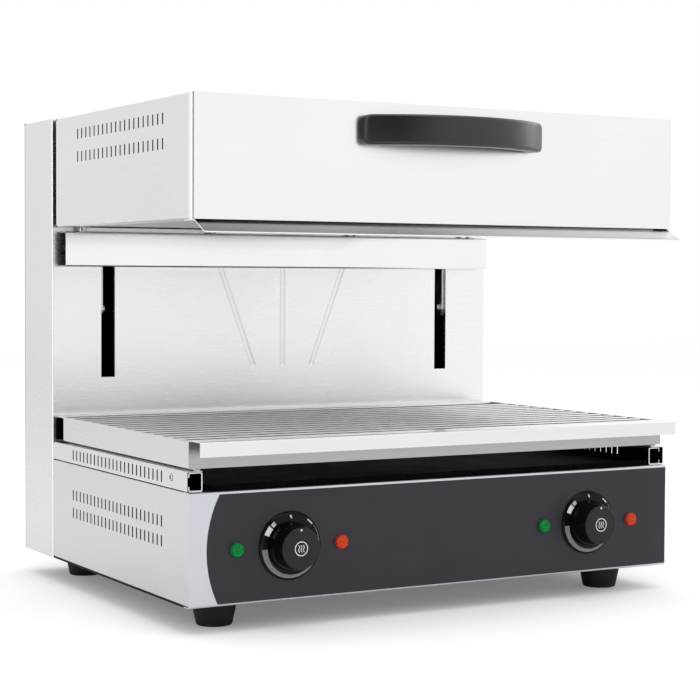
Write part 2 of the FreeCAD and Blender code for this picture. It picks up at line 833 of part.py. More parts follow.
def rearScrewPlaces():
    # Four screws up each side of the rear cover, evenly spread.
    margin = s.rear_flange
    run = s.column_height - 2 * margin
    heightShares = (0, 1 / 3, 2 / 3, 1)
    heights = [s.foot_height + margin + run * share for share in heightShares]
    return [(side * (columnHalf - s.rear_screw_inset), z) for _, side in sides() for z in heights]


def makeColumnFront():
    panelTop = columnTop - s.sheet
    outline = rectangle((-columnInner, columnInner), (floorTop, panelTop), s.bend)
    inner, outer = slotX - s.slot_width / 2, slotX + s.slot_width / 2
    slots = [rectangle(spanX(side, inner, outer), (slotBottom, slotTop)) for _, side in sides()]
    panel = plate("panel", "XZ_Plane", (s.base_depth, columnFront), [outline] + slots)
    heights = (slotBottom + s.slot_return_rise, slotTop)
    returns = []
    for _, side in sides():
        returns.append(rectangle(spanX(side, inner - s.sheet, inner), heights))
        returns.append(rectangle(spanX(side, outer, outer + s.sheet), heights))
    addPad(panel, "XZ_Plane", (columnFront, s.base_depth + s.slot_return_depth), returns)
    beads = []
    sink = s.bead_radius - s.bead_depth
    beadBottom = slotBottom + s.bead_foot_rise
    rise = columnTop - s.bead_top_margin - beadBottom
    for side in (-1, 0, 1):
        lean = slopeAngle(side * s.bead_lean, rise)
        foot = (side * s.bead_spread, s.base_depth - sink, beadBottom)
        bead = document.addObject("Part::Cylinder", "bead")
        bead.setExpression("Radius", s.bead_radius.text)
        bead.setExpression("Height", rise.text)
        bead.Placement.Rotation = FreeCAD.Rotation(FreeCAD.Vector(0, 1, 0), lean.value)
        bead.setExpression("Placement.Rotation.Angle", lean.text)
        end = document.addObject("Part::Sphere", "bead_end")
        end.setExpression("Radius", s.bead_radius.text)
        for item in (bead, end):
            moveTo(item, foot)
        beads += [bead, end]
    grooves = document.addObject("Part::MultiFuse", "grooves")
    grooves.Shapes = beads
    pressed = document.addObject("Part::Cut", "pressed_panel")
    pressed.Base = panel
    pressed.Tool = grooves
    keep(pressed, "column_front_panel", CABINET)


def makeLiftGuides():
    anchors = []
    for label, side in sides():
        near = slotX + s.slot_width / 2 + s.guide_gap
        far = near + s.guide_width
        depth = rollerY * 2 - columnFront
        path = [(side * near, columnFront), (side * far, columnFront), (side * far, depth),
                (side * near, depth)]
        span = (slotBottom - s.guide_run_down, slotTop + s.guide_run_up)
        guide = folded(label + "_guide_rail", "XY_Plane", span, path, side, s.guide_sheet)
        keep(guide, label + "_guide_rail", CABINET)
        x = springX()
        span = spanX(side, x - s.anchor_width / 2, x + s.anchor_width / 2)
        anchorZ = columnTop - s.anchor_top_gap
        path = [(columnFront, anchorZ - s.anchor_leg), (columnFront, anchorZ),
                (springY + s.anchor_overhang, anchorZ)]
        anchors.append(folded("anchor", "YZ_Plane", span, path, -1, s.anchor_sheet))
        hookLow = springPinZ + s.spring_pin_radius + s.resting_gap
        hookHigh = anchorZ - s.anchor_sheet
        coilLow, coilHigh = hookLow + s.spring_hook, hookHigh - s.spring_hook
        profile = [(ZERO, hookLow), (s.spring_wire, hookLow), (s.spring_wire, coilLow),
                   (s.spring_radius, coilLow), (s.spring_radius, coilHigh), (s.spring_wire, coilHigh),
                   (s.spring_wire, hookHigh), (ZERO, hookHigh)]
        spring = turned("spring", profile)
        keep(spring, label + "_spring", (side * x, frontY + springY, ZERO))
    join("spring_anchors", anchors, CABINET)


def springX():
    return armInner - s.spring_radius - s.hole_gap


def makeWiring():
    x, y, low = s.block_x, s.base_depth + s.block_setback, floorTop
    block = plate("terminal_block", "XY_Plane", (low, low + s.block_height),
                  [rectangle((x, x + s.block_length), (y, y + s.block_depth))])
    top = low + s.block_height
    middle = (x + s.block_length / 2, y + s.block_depth / 2)
    holes = [(middle[0] + s.block_hole_pitch * step, middle[1], s.block_hole_radius)
             for step in (-1, 0, 1)]
    addPocket(block, "XY_Plane", (top - s.block_hole_depth, top + s.overrun), holes)
    keep(block, "terminal_block", CABINET)
    profile = [(s.gland_bore, -s.gland_inside), (s.gland_thread, -s.gland_inside),
               (s.gland_thread, s.gland_nut_length), (s.gland_cap, s.gland_nut_length),
               (s.gland_mouth, s.gland_reach), (s.gland_bore, s.gland_reach)]
    gland = turned("cable_gland", profile, None, "rear")
    cornerShares = ((1, 0), (0.5, 0.866), (-0.5, 0.866), (-1, 0), (-0.5, -0.866), (0.5, -0.866))
    hexagon = [(s.gland_nut * x, s.gland_nut * y) for x, y in cornerShares]
    innerNut = (-s.sheet - s.gland_nut_length, -s.sheet)
    for span in (innerNut, (ZERO, s.gland_nut_length)):
        addPad(gland, "XY_Plane", span, [hexagon, (ZERO, ZERO, s.gland_bore)])
    keep(gland, "cable_gland", (glandX, frontY + columnRear, glandZ))


def makeHoodShell():
    height = s.hood_height
    inner = hoodHalf - s.hood_flange
    path = [(-inner, ZERO), (-hoodHalf, ZERO), (-hoodHalf, height), (hoodHalf, height),
            (hoodHalf, ZERO), (inner, ZERO)]
    seam = s.hood_wrap - s.hood_front
    shell = folded("hood_shell", "XZ_Plane", (seam, hoodRear - s.sheet), path, -1)
    drops = (s.hood_vent_low_drop, s.hood_vent_high_drop)
    rows = [ventOutline(s.hood_vent_first_y, height - drop) for drop in drops]
    reach = hoodHalf + s.overrun
    vents = addPocket(shell, "YZ_Plane", (-reach, reach), rows)
    run = hoodRear - s.hood_vent_first_y - s.hood_vent_rear_margin
    repeatAlong(shell, vents, "H_Axis", s.hood_vent_pitch, countOn(run, s.hood_vent_pitch))
    keep(shell, "hood_shell", HOOD)
    front = -s.hood_front
    path = [(-hoodHalf, seam), (-hoodHalf, front), (hoodHalf, front), (hoodHalf, seam)]
    panel = folded("hood_front_panel", "XY_Plane", (ZERO, height), path, 1, s.sheet, s.hood_fold)
    within = hoodHalf - s.sheet
    topFlange = rectangle((-within, within), (front + s.sheet, seam))
    addPad(panel, "XY_Plane", (height - s.sheet, height), [topFlange])
    bottomFlange = rectangle((-inner, inner), (front + s.sheet, front + s.hood_front_flange))
    addPad(panel, "XY_Plane", (ZERO, s.sheet), [bottomFlange])
    holes = [(x, handleMiddle(), s.screw_radius + s.hole_gap)
             for x in (-handleScrewX, handleScrewX)]
    addPocket(panel, "XZ_Plane", (front - s.overrun, front + s.sheet + s.overrun), holes)
    keep(panel, "hood_front_panel", HOOD)
    rear = plate("hood_rear_panel", "XZ_Plane", (hoodRear - s.sheet, hoodRear),
                 [rectangle((-hoodHalf, hoodHalf), (ZERO, height))])
    keep(rear, "hood_rear_panel", HOOD)
    tip, start = front - s.lip_reach, front + s.lip_setback
    drop = s.lip_drop
    outline = [(s.lip_root, ZERO), (start, ZERO), (tip, -drop), (tip, -drop - s.sheet),
               (start, -s.sheet), (s.lip_root, -s.sheet)]
    span = (s.lip_inset - hoodHalf, hoodHalf - s.lip_inset)
    keep(plate("hood_lip", "YZ_Plane", span, [outline]), "hood_lip", HOOD)


def handleMiddle():
    return handleLow + s.handle_height / 2


def addLoft(body, kind, sections):
    # A loft between flat outlines: each section is (height, outline).
    sketches = [addSketch(body, "XY_Plane", height, [outline]) for height, outline in sections]
    loft = body.newObject(kind, "Loft")
    loft.Profile = sketches[0]
    loft.Sections = sketches[1:]
    loft.Ruled = True
    body.Tip = loft
    return loft


def reflectorSection(height, skin):
    # The sloping recess at a height above its rim, drawn in by the skin where that is given.
    low, high = s.sheet, s.reflector_top
    inset = s.reflector_slope * (asSize(height) - low) / (high - low) + skin
    x = mouthHalf - inset
    ySpan = (s.mouth_front + inset, mouthRear - inset)
    return rectangle((-x, x), ySpan)


def makeHeating():
    body = newBody("reflector")
    top = s.reflector_top
    addLoft(body, "PartDesign::AdditiveLoft",
            [(s.sheet, reflectorSection(s.sheet, ZERO)), (top, reflectorSection(top, ZERO))])
    rim = rectangle((-hoodHalf + s.reflector_rim, hoodHalf - s.reflector_rim),
                    (s.reflector_rim, hoodRear - s.reflector_rim))
    addPad(body, "XY_Plane", (s.sheet, s.sheet * 2), [rim])
    addLoft(body, "PartDesign::SubtractiveLoft",
            [(s.sheet, reflectorSection(s.sheet, s.sheet)),
             (top - s.sheet, reflectorSection(top - s.sheet, s.sheet))])
    ends = [(y, s.heater_height, s.heater_radius + s.hole_gap)
            for y in (heaterRun(0), heaterRun(3))]
    reach = mouthHalf + s.overrun
    inner = mouthHalf - s.reflector_slope - s.overrun
    for _, side in sides():
        addPocket(body, "YZ_Plane", spanX(side, inner, reach), ends)
    keep(body, "reflector", HOOD)
    for label, side in sides():
        makeHeater(label + "_heater", side)
    brackets = []
    low = s.heater_height - s.bracket_drop
    outline = rectangle((heaterRun(0) - s.bracket_margin, heaterRun(3) + s.bracket_margin),
                        (low, top - s.sheet))
    holes = [(heaterRun(run), s.heater_height, s.heater_radius + s.hole_gap) for run in range(4)]
    for share in (s.bracket_near_share, s.bracket_far_share):
        x = (mouthHalf - s.heater_side_margin) * share
        for _, side in sides():
            span = spanX(side, x, x + s.bracket_thickness)
            brackets.append(plate("bracket", "YZ_Plane", span, [outline] + holes))
    join("heater_brackets", brackets, HOOD)
    block = reflectorSection(top, s.insulation_inset)
    insulation = plate("hood_insulation", "XY_Plane", (top, top + s.insulation_thickness), [block])
    keep(insulation, "hood_insulation", HOOD)


def heaterRun(run):
    # Four runs, spread evenly about the middle of the mouth.
    return (s.mouth_front + mouthRear) / 2 + s.heater_pitch * (2 * run - 3) / 2


def makeHeater(name, side):
    # One tube with four runs across the hood and three return bends; both ends leave at the side.
    body = newBody(name)
    end, far = side * (mouthHalf + s.heater_end_reach), side * (mouthHalf - s.heater_side_margin)
    near = side * s.heater_inner_x
    bend = s.heater_bend
    first, second, third, fourth = (heaterRun(run) for run in range(4))
    path = [(end, first), (near, first, bend), (near, second, bend), (far, second, bend),
            (far, third, bend), (near, third, bend), (near, fourth, bend), (end, fourth)]
    spine = addSketch(body, "XY_Plane", s.heater_height, [path], closed=False)
    section = addSketch(body, "YZ_Plane", end, [(first, s.heater_height, s.heater_radius)])
    pipe = body.newObject("PartDesign::AdditivePipe", "Pipe")
    pipe.Profile = section
    pipe.Spine = spine
    body.Tip = pipe
    keep(body, name, HOOD)


def edgesWhere(shape, test):
    return [f"Edge{i}" for i, edge in enumerate(shape.Edges, start=1) if test(edge)]


def addFillet(body, radius, test):
    # Rounds the edges of the body's present tip that pass the test.
    document.recompute()
    base = body.Tip
    fillet = body.newObject("PartDesign::Fillet", "Fillet")
    fillet.Base = (base, edgesWhere(base.Shape, test))
    fillet.setExpression("Radius", radius.text)
    body.Tip = fillet


def bowRadius(half, rise):
    return (half * half + rise * rise) / (2 * rise)


def makeHandle():
    # A moulded bow: a curved grip on two feet, with the finger gap behind it.
    back = -s.hood_front
    half, gap = s.handle_half_width, s.handle_half_width - s.handle_foot_width
    outer = bowRadius(half, s.handle_depth - s.handle_end_depth)
    inner = bowRadius(gap, s.handle_gap_depth - s.handle_gap_end)
    outline = [(half, back), (gap, back), (gap, back - s.handle_gap_end, 0, -inner),
               (-gap, back - s.handle_gap_end), (-gap, back), (-half, back),
               (-half, back - s.handle_end_depth, 0, outer), (half, back - s.handle_end_depth)]
    handle = plate("handle", "XY_Plane", (handleLow, handleLow + s.handle_height), [outline])
    footMiddle = (half + gap) / 2
    front = back - s.handle_end_depth + s.hole_gap

    def onEnd(edge):
        # The level edges that run back along the two ends.
        box = edge.BoundBox
        return box.YLength > box.XLength + box.ZLength and abs(box.Center.x) > footMiddle.value

    def onFront(edge):
        return edge.BoundBox.YMax < front.value

    addFillet(handle, s.handle_corner, onEnd)
    addFillet(handle, s.handle_edge, onFront)
    places = [(x, handleMiddle()) for x in (-handleScrewX, handleScrewX)]
    depth = s.handle_screw_length - s.sheet
    bores = [(x, z, s.screw_radius) for x, z in places]
    addPocket(handle, "XZ_Plane", (back - depth, back + s.overrun), bores)
    keep(handle, "handle", HOOD)
    screws = [screw("handle_screw", (x, back + s.sheet, z), "rear", s.handle_screw_length)
              for x, z in places]
    join("handle_screws", screws, HOOD)


def makeCarrier():
    top = -s.beam_drop
    low = top - s.beam_height
    rear = beamFront + s.beam_depth
    path = [(rear, top), (beamFront, top), (beamFront, low), (rear, low)]
    beam = folded("carrier_beam", "YZ_Plane", (-beamHalf, beamHalf), path, 1)
    boltY = beamFront + s.bolt_setback
    boltOuter = beamHalf - s.bolt_outer_inset
    boltPlaces = [side * x for x in (boltOuter, s.bolt_inner_x) for _, side in sides()]
    holes = [(x, boltY, s.bolt_radius + s.hole_gap) for x in boltPlaces]
    addPocket(beam, "XY_Plane", (top - s.sheet - s.overrun, top + s.overrun), holes)
    keep(beam, "carrier_beam", HOOD)
    under = top - s.sheet
    profile = [(ZERO, under - s.bolt_head_height), (s.bolt_head_radius, under - s.bolt_head_height),
               (s.bolt_head_radius, under), (s.bolt_radius, under), (s.bolt_radius, top),
               (s.bolt_collar_radius, top), (s.bolt_collar_radius, ZERO), (ZERO, ZERO)]
    bolts = [turned("beam_bolt", profile, (x, boltY, ZERO)) for x in boltPlaces]
    join("beam_bolts", bolts, HOOD)


def makeArms():
    low, high = -s.roller_low_drop, -s.roller_high_drop
    beamTop = -s.beam_drop - s.sheet - s.bend
    beamLow = -s.beam_drop - s.beam_height + s.sheet + s.bend
    reach = s.roller_radius - s.arm_slot_gap * 2
    front, rear = rollerY - reach, rollerY + reach
    web = beamFront + s.sheet
    pinZ = -s.spring_pin_drop
    lugRear = springY + s.lug_overhang
    lugLow, lugHigh = pinZ - s.lug_height / 2, pinZ + s.lug_height / 2
    end = reach - s.arm_slot_gap
    axles = []
    for label, side in sides():
        name = label + "_arm"
        outline = [(front, low - reach, end), (rear, low - reach, end), (rear, lugLow), (lugRear, lugLow),
                   (lugRear, lugHigh), (rear, lugHigh), (rear, beamTop), (web, beamTop),
                   (web, beamLow), (front, beamLow)]
        bores = [(rollerY, z, s.axle_radius + s.running_gap) for z in (low, high)]
        arm = plate(name, "YZ_Plane", spanX(side, armInner, armOuter), [outline] + bores)
        tab = rectangle((web, web + s.arm_thickness), (beamLow + s.arm_margin, beamTop - s.arm_margin))
        addPad(arm, "YZ_Plane", spanX(side, armOuter, armOuter + s.arm_tab), [tab])
        addPad(arm, "YZ_Plane", spanX(side, armInner - s.spring_pin_length, armInner),
               [(springY, pinZ, s.spring_pin_radius)])
        keep(arm, name, HOOD)
        for level, z in (("lower", low), ("upper", high)):
            place = (side * (armInner - s.axle_head_height), rollerY, z)
            axles.append(turned("axle", axleProfile(), place, label))
            makeRoller(f"{label}_{level}_roller", side, label, z)
    join("roller_axles", axles, HOOD)


def axleProfile():
    head, plateEnd = s.axle_head_height, s.axle_head_height + s.arm_thickness
    collar = plateEnd + s.axle_collar_length
    tip = collar + s.resting_gap + s.roller_width + s.resting_gap
    return [(ZERO, ZERO), (s.axle_head_radius, ZERO), (s.axle_head_radius, head), (s.axle_radius, head),
            (s.axle_radius, plateEnd), (s.axle_head_radius, plateEnd), (s.axle_head_radius, collar),
            (s.axle_radius, collar), (s.axle_radius, tip), (ZERO, tip)]


def makeRoller(name, side, facing, z):
    bore = s.axle_radius + s.running_gap
    edge = s.arm_slot_gap
    profile = [(bore, ZERO), (s.roller_radius, ZERO, edge), (s.roller_radius, s.roller_width, edge),
               (bore, s.roller_width)]
    x = side * (armOuter + s.axle_collar_length + s.resting_gap)
    keep(turned(name, profile, None, facing), name, (x, frontY + rollerY, z + hoodBottom))


def makeRack():
    half, high = rackHalf, s.rack_height
    floor = s.rack_runner
    inner = half - s.rack_floor_width
    panels = []
    for _, side in sides():
        path = [(side * half, high), (side * half, floor), (side * inner, floor), (side * inner, ZERO),
                (side * (inner - s.rack_runner_width), ZERO)]
        outline = foldedOutline(path, s.sheet, ZERO, -side)
        panels.append(plate("rack_side", "XZ_Plane", (s.sheet, rackSideLength), [outline]))
    join("rack_sides", panels, RACK)
    span = (-half, half)
    tip = high - s.rack_lip_drop
    path = [(ZERO, floor), (ZERO, high), (-s.rack_lip_reach, high), (-s.rack_lip_reach, tip)]
    keep(folded("rack_front", "YZ_Plane", span, path, -1), "rack_front", RACK)
    near, far = rackSideLength, rackSideLength + s.rack_rear_depth
    path = [(near, floor), (near, high), (far, high), (far, floor)]
    keep(folded("rack_rear", "YZ_Plane", span, path, -1), "rack_rear", RACK)
    reach = half - s.sheet
    rodZ = high - s.rod_radius
    rods = newBody("rack_rods")
    rod = addPad(rods, "YZ_Plane", (-reach, reach), [(s.rod_first_y, rodZ, s.rod_radius)])
    run = rackSideLength - s.rod_first_y - s.rod_rear_margin
    repeatAlong(rods, rod, "H_Axis", s.rod_pitch, countOn(run, s.rod_pitch))
    keep(rods, "rack_rods", RACK)
    bar = plate("rack_cross_bar", "XZ_Plane", (s.sheet, rackSideLength),
                [(ZERO, rodZ - 2 * s.rod_radius, s.rod_radius)])
    keep(bar, "rack_cross_bar", RACK)


def makeTray():
    half, low = railWeb - s.tray_side_gap, baseTop + s.resting_gap
    ySpan = (s.tray_end_gap, s.base_depth - s.tray_end_gap)
    outline = rectangle((-half, half), ySpan, s.tray_corner)
    tray = plate("crumb_tray", "XY_Plane", (low, low + s.tray_height), [outline])
    wall = s.tray_wall
    hollow = rectangle((-half + wall, half - wall), (ySpan[0] + wall, ySpan[1] - wall),
                       s.tray_corner - wall)
    addPocket(tray, "XY_Plane", (low + wall, low + s.tray_height + s.overrun), [hollow])
    keep(tray, "crumb_tray", CABINET)


makeBase(makeFeet())
makeFront()
makeControls()
makeRails()
makeColumn()
makeLiftGuides()
makeWiring()
makeHoodShell()
makeHeating()
makeHandle()
makeCarrier()
makeArms()
makeRack()
makeTray()
document.recompute()

faults = [item.Name for item in document.Objects if {"Invalid", "Error"} & set(item.State)]
faults += [name for name, item in pieces.items() if item.Shape.isNull() or not item.Shape.isValid()]
for item in document.Objects:
    if item.TypeId == "PartDesign::Pocket" and item.Shape.Volume >= item.BaseFeature.Shape.Volume:
        faults.append(item.Name + " cuts nothing")
if faults:
    raise RuntimeError("faults: " + ", ".join(faults))

os.makedirs("parts", exist_ok=True)
for name, item in pieces.items():
    item.Shape.exportStep(os.path.join("parts", name + ".step"))
print(len(pieces), "sub-parts")
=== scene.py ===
import math

import bpy
import bmesh
import numpy as np
from mathutils import Matrix, Vector


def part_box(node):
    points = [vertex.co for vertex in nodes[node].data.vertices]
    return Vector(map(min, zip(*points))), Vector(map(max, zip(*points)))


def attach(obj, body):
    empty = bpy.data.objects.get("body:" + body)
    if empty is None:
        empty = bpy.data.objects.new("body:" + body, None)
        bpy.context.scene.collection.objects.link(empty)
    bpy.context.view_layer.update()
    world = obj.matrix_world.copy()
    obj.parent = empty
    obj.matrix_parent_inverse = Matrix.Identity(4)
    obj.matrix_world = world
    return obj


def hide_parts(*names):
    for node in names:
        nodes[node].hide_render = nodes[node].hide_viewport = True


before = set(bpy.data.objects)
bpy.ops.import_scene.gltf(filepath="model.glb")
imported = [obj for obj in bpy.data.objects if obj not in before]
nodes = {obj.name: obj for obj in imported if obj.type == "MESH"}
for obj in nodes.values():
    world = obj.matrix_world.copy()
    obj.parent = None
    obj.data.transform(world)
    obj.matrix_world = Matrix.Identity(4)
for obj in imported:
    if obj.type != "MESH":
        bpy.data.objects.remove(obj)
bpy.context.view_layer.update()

fullTurn = 2 * math.pi
print("frame loaded:", len(nodes), "nodes")


# Places taken from the CAD nodes

def span(*names):
    # The lowest and the highest corner of a set of nodes.
    corners = np.array([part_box(name) for name in names])
    return corners[:, 0].min(axis=0), corners[:, 1].max(axis=0)


def within(names, **insets):
    # A box inside a set of nodes: for each axis, how far it stays in from its low and high side.
    low, high = span(*names)
    return {axis: (low["XYZ".index(axis)] + inset[0], high["XYZ".index(axis)] - inset[1])
            for axis, inset in insets.items()}


frontY = span("base_front_panel")[0][1]      # the base's front face
rackLow = span("rack_sides")[0][2]
columnDepth = np.ptp(span("column_shell"), axis=0)[1]


# Meshes from whole arrays

meshing = {"weld": 1e-6, "fineWeld": 1e-7, "sharpAngle": 40}


def gridFaces(rows, columns, wrapRows=False, wrapColumns=False):
    # Four-sided faces between neighbouring rows and columns of a grid of points.
    rowCount = rows if wrapRows else rows - 1
    columnCount = columns if wrapColumns else columns - 1
    i, j = np.meshgrid(np.arange(rowCount), np.arange(columnCount), indexing="ij")
    i, j = i.ravel(), j.ravel()
    below, beside = (i + 1) % rows, (j + 1) % columns
    return np.stack([i * columns + j, i * columns + beside, below * columns + beside,
                     below * columns + j], axis=1)


def addPiece(name, surfaces, material, body, replaced, smooth=True,
             weld=meshing["weld"]):
    # Surfaces are (points, faces) pairs; all points are in the frame, so the object isn't moved.
    points, faces, start = [], [], 0
    for surfacePoints, surfaceFaces in surfaces:
        surfacePoints = np.asarray(surfacePoints, float).reshape(-1, 3)
        points.append(surfacePoints)
        faces += (np.asarray(surfaceFaces) + start).tolist()
        start += len(surfacePoints)
    mesh = bpy.data.meshes.new(name)
    mesh.from_pydata(np.concatenate(points).tolist(), [], faces)
    work = bmesh.new()
    work.from_mesh(mesh)
    bmesh.ops.remove_doubles(work, verts=work.verts, dist=weld)
    bmesh.ops.dissolve_degenerate(work, edges=work.edges, dist=weld)
    bmesh.ops.recalc_face_normals(work, faces=work.faces)
    work.to_mesh(mesh)
    work.free()
    mesh.polygons.foreach_set("use_smooth", [smooth] * len(mesh.polygons))
    if smooth:
        mesh.set_sharp_from_angle(angle=math.radians(meshing["sharpAngle"]))
    piece = bpy.data.objects.new(name, mesh)
    bpy.context.scene.collection.objects.link(piece)
    mesh.materials.append(material)
    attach(piece, body)
    if replaced:
        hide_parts(*replaced)
    return piece


def roundedProfile(corners, steps=6):
    # A line through (radius, height, rounding) corners, with an arc of that rounding at each:
    # centre + (sin((1 - share) * sweep) * start + sin(share * sweep) * end) / sin(sweep).
    line = []
    for index, corner in enumerate(corners):
        here, rounding = np.array(corner[:2], float), corner[2] if len(corner) > 2 else 0
        if rounding == 0 or index in (0, len(corners) - 1):
            line.append(here[None])
            continue
        before = np.array(corners[index - 1][:2]) - here
        after = np.array(corners[index + 1][:2]) - here
        before, after = before / np.linalg.norm(before), after / np.linalg.norm(after)
        half = math.acos(np.clip(before @ after, -1, 1)) / 2
        inward = (before + after) / np.linalg.norm(before + after)
        centre = here + inward * rounding / math.sin(half)
        start = here + before * rounding / math.tan(half) - centre
        end = here + after * rounding / math.tan(half) - centre
        share = np.linspace(0, 1, steps)[:, None]
        sweep = math.acos(np.clip(start @ end / rounding ** 2, -1, 1))
        arc = (np.sin((1 - share) * sweep) * start + np.sin(share * sweep) * end) / math.sin(sweep)
        line.append(centre + arc)
    return np.concatenate(line)


def revolved(profile, centre, toward, segments=72):
    # Each profile point goes round the axis: centre + height * axis + radius * circle.
    axis = np.array(Vector(toward).normalized())
    side = np.array(Vector(toward).orthogonal().normalized())
    other = np.cross(axis, side)
    angle = np.linspace(0, fullTurn, segments, endpoint=False)
    ring = np.cos(angle)[:, None] * side + np.sin(angle)[:, None] * other
    points = (np.asarray(centre) + profile[:, 1, None, None] * axis
              + profile[:, 0, None, None] * ring[None])
    return points, gridFaces(len(profile), segments, wrapColumns=True)


def tube(path, radius, segments):
    # A circle carried along a path: point + radius * (cos(angle) * side + sin(angle) * top), with
    # side and top square to the path; both ends close on the path itself.
    path = np.asarray(path, float)
    along = np.gradient(path, axis=0)
    along /= np.linalg.norm(along, axis=1)[:, None]
    up = np.where(np.abs(along[:, 2:]) > 0.9, [[0.0, 1.0, 0.0]], [[0.0, 0.0, 1.0]])
    side = np.cross(along, up)
    side /= np.linalg.norm(side, axis=1)[:, None]
    top = np.cross(side, along)
    angle = np.linspace(0, fullTurn, segments, endpoint=False)[None, :, None]
    ring = side[:, None] * np.cos(angle) + top[:, None] * np.sin(angle)
    ends = np.broadcast_to(path[[0, -1], None], (2, segments, 3))
    points = np.concatenate([ends[:1], path[:, None] + ring * radius, ends[1:]])
    return points, gridFaces(len(points), segments, wrapColumns=True)


def placed(line, centre, height):
    # Flat (across, up) points stood upright, at this height in front of the base's front face.
    line = np.asarray(line, float)
    return np.stack([centre[0] + line[..., 0], np.full(line.shape[:-1], frontY - height),
                     centre[1] + line[..., 1]], axis=-1)


def printedStrip(line, widths, centre, low, high, closed=False):
    # A thin band along a flat line: each point - or + side * width / 2, from low to high.
    line = np.asarray(line, float)
    if closed:
        along = np.roll(line, -1, axis=0) - np.roll(line, 1, axis=0)
    else:
        along = np.gradient(line, axis=0)
    along /= np.linalg.norm(along, axis=1)[:, None]
    halfWidths = np.broadcast_to(widths, len(line))[:, None] / 2
    side = np.stack([-along[:, 1], along[:, 0]], axis=1) * halfWidths
    rings = np.stack([placed(line - side, centre, low), placed(line - side, centre, high),
                      placed(line + side, centre, high), placed(line + side, centre, low)], axis=1)
    faces = gridFaces(len(line), 4, wrapRows=closed, wrapColumns=True)
    if not closed:
        last = 4 * (len(line) - 1)
        faces = np.concatenate([faces, [[0, 1, 2, 3], [last + 3, last + 2, last + 1, last]]])
    return rings, faces


def onCircle(radius, angle):
    # Flat points (radius * sin(angle), radius * cos(angle)), in radians clockwise from the top.
    return np.stack([np.sin(angle) * radius, np.cos(angle) * radius], axis=1)


def arcLine(radius, start, end, steps):
    # Points on a circle at even steps between two angles in degrees.
    return onCircle(radius, np.radians(np.linspace(start, end, steps)))


# Materials

def newMaterial(name):
    material = bpy.data.materials.new(name)
    material.use_nodes = True
    tree = material.node_tree
    return material, tree, tree.nodes["Principled BSDF"]


def setSockets(tree, node, sockets):
    # A socket is given a value, or another node's output to be joined to.
    for key, value in sockets.items():
        if isinstance(value, bpy.types.NodeSocket):
            tree.links.new(value, node.inputs[key])
        else:
            node.inputs[key].default_value = value


def put(tree, kind, sockets=None, **settings):
    # One shader node; what comes back is its outputs.
    node = tree.nodes.new("ShaderNode" + kind)
    for key, value in settings.items():
        setattr(node, key, value)
    setSockets(tree, node, sockets or {})
    return node.outputs


def colour(red, green, blue):
    return (red, green, blue, 1.0)


def grey(level):
    return colour(level, level, level)


def noiseOf(tree, point, scale, detail=2.0, stretch=None, roughness=0.5):
    if stretch:
        point = put(tree, "Mapping", {"Vector": point, "Scale": stretch})["Vector"]
    return put(tree, "TexNoise", {"Vector": point, "Scale": scale, "Detail": detail,
                                  "Roughness": roughness})["Fac"]


def cellsOf(tree, point, scale):
    return put(tree, "TexVoronoi", {"Vector": point, "Scale": scale}, feature="F1")["Distance"]


def ranged(tree, value, low, high, fromLow=0.0, fromHigh=1.0):
    return put(tree, "MapRange", {"Value": value, "From Min": fromLow, "From Max": fromHigh,
                                  "To Min": low, "To Max": high})["Result"]


def shareOf(tree, value, fromLow, fromHigh):
    # 0 below the first limit, 1 above the second.
    return ranged(tree, value, 0.0, 1.0, fromLow, fromHigh)


def maths(tree, operation, first, second=0.0):
    return put(tree, "Math", {0: first, 1: second}, operation=operation)["Value"]


def times(tree, first, second):
    return maths(tree, "MULTIPLY", first, second)


def mixed(tree, share, first, second, kind="MIX"):
    return put(tree, "Mix", {0: share, 6: first, 7: second}, data_type="RGBA", blend_type=kind)[2]


def bumped(tree, height, distance, under=None):
    sockets = {"Height": height, "Distance": distance, "Strength": 1.0}
    if under:
        sockets["Normal"] = under
    return put(tree, "Bump", sockets)["Normal"]


def facing(tree, axis):
    # How far the surface faces along an axis, from -1 to 1.
    return put(tree, "SeparateXYZ", {0: put(tree, "TexCoord")["Normal"]})[axis]


def boxMask(tree, point, limits):
    # 1 inside a box given as axis: (low, high), 0 outside it.
    split = put(tree, "SeparateXYZ", {0: point})
    share = 1.0
    for axis, (low, high) in limits.items():
        above = maths(tree, "GREATER_THAN", split[axis], low)
        below = maths(tree, "LESS_THAN", split[axis], high)
        share = times(tree, times(tree, above, below), share)
    return share


noiseRange = (0.3, 0.7)      # where nearly all of a noise's values lie
sheetFinish = {
    # what a sheet has where its own finish doesn't say otherwise
    "across": "Z", "flatAcross": "Y",        # across the grain, on upright and on level faces
    "fineScale": 1500.0, "coarseScale": 210.0, "coarseShare": 0.55, "streakDark": 0.972,
    "cloudScale": 6.5, "cloudTone": (0.98, 0.98, 0.9849), "shineSpread": 0.012,
    # the dark colour and roughness of painted shade
    "insideTone": (0.01, 0.01, 0.0104), "insideRough": 0.6,
    "waveScale": 3.2, "waveStretch": None, "relief": 0.25, "metallic": 1.0,
}
lipShade = {"atTop": 0.35, "line": 0.85, "lineHeight": 0.0012}


def flankShare(tree, limits):
    # Painted shade: tube faces that look to the front below their middle are coloured dark, as they
    # see only the dark below the rods.
    return ranged(tree, facing(tree, "Y"), 1.0, 0.0, *limits)


def creaseShare(tree, strength):
    # Painted shade: the sloped walls of pressed beads are coloured darker than the flat sheet.
    slope = maths(tree, "ABSOLUTE", facing(tree, "X"))
    crease = ranged(tree, slope, 0.0, strength, 0.02, 0.12)
    return times(tree, crease, maths(tree, "LESS_THAN", slope, 0.5))


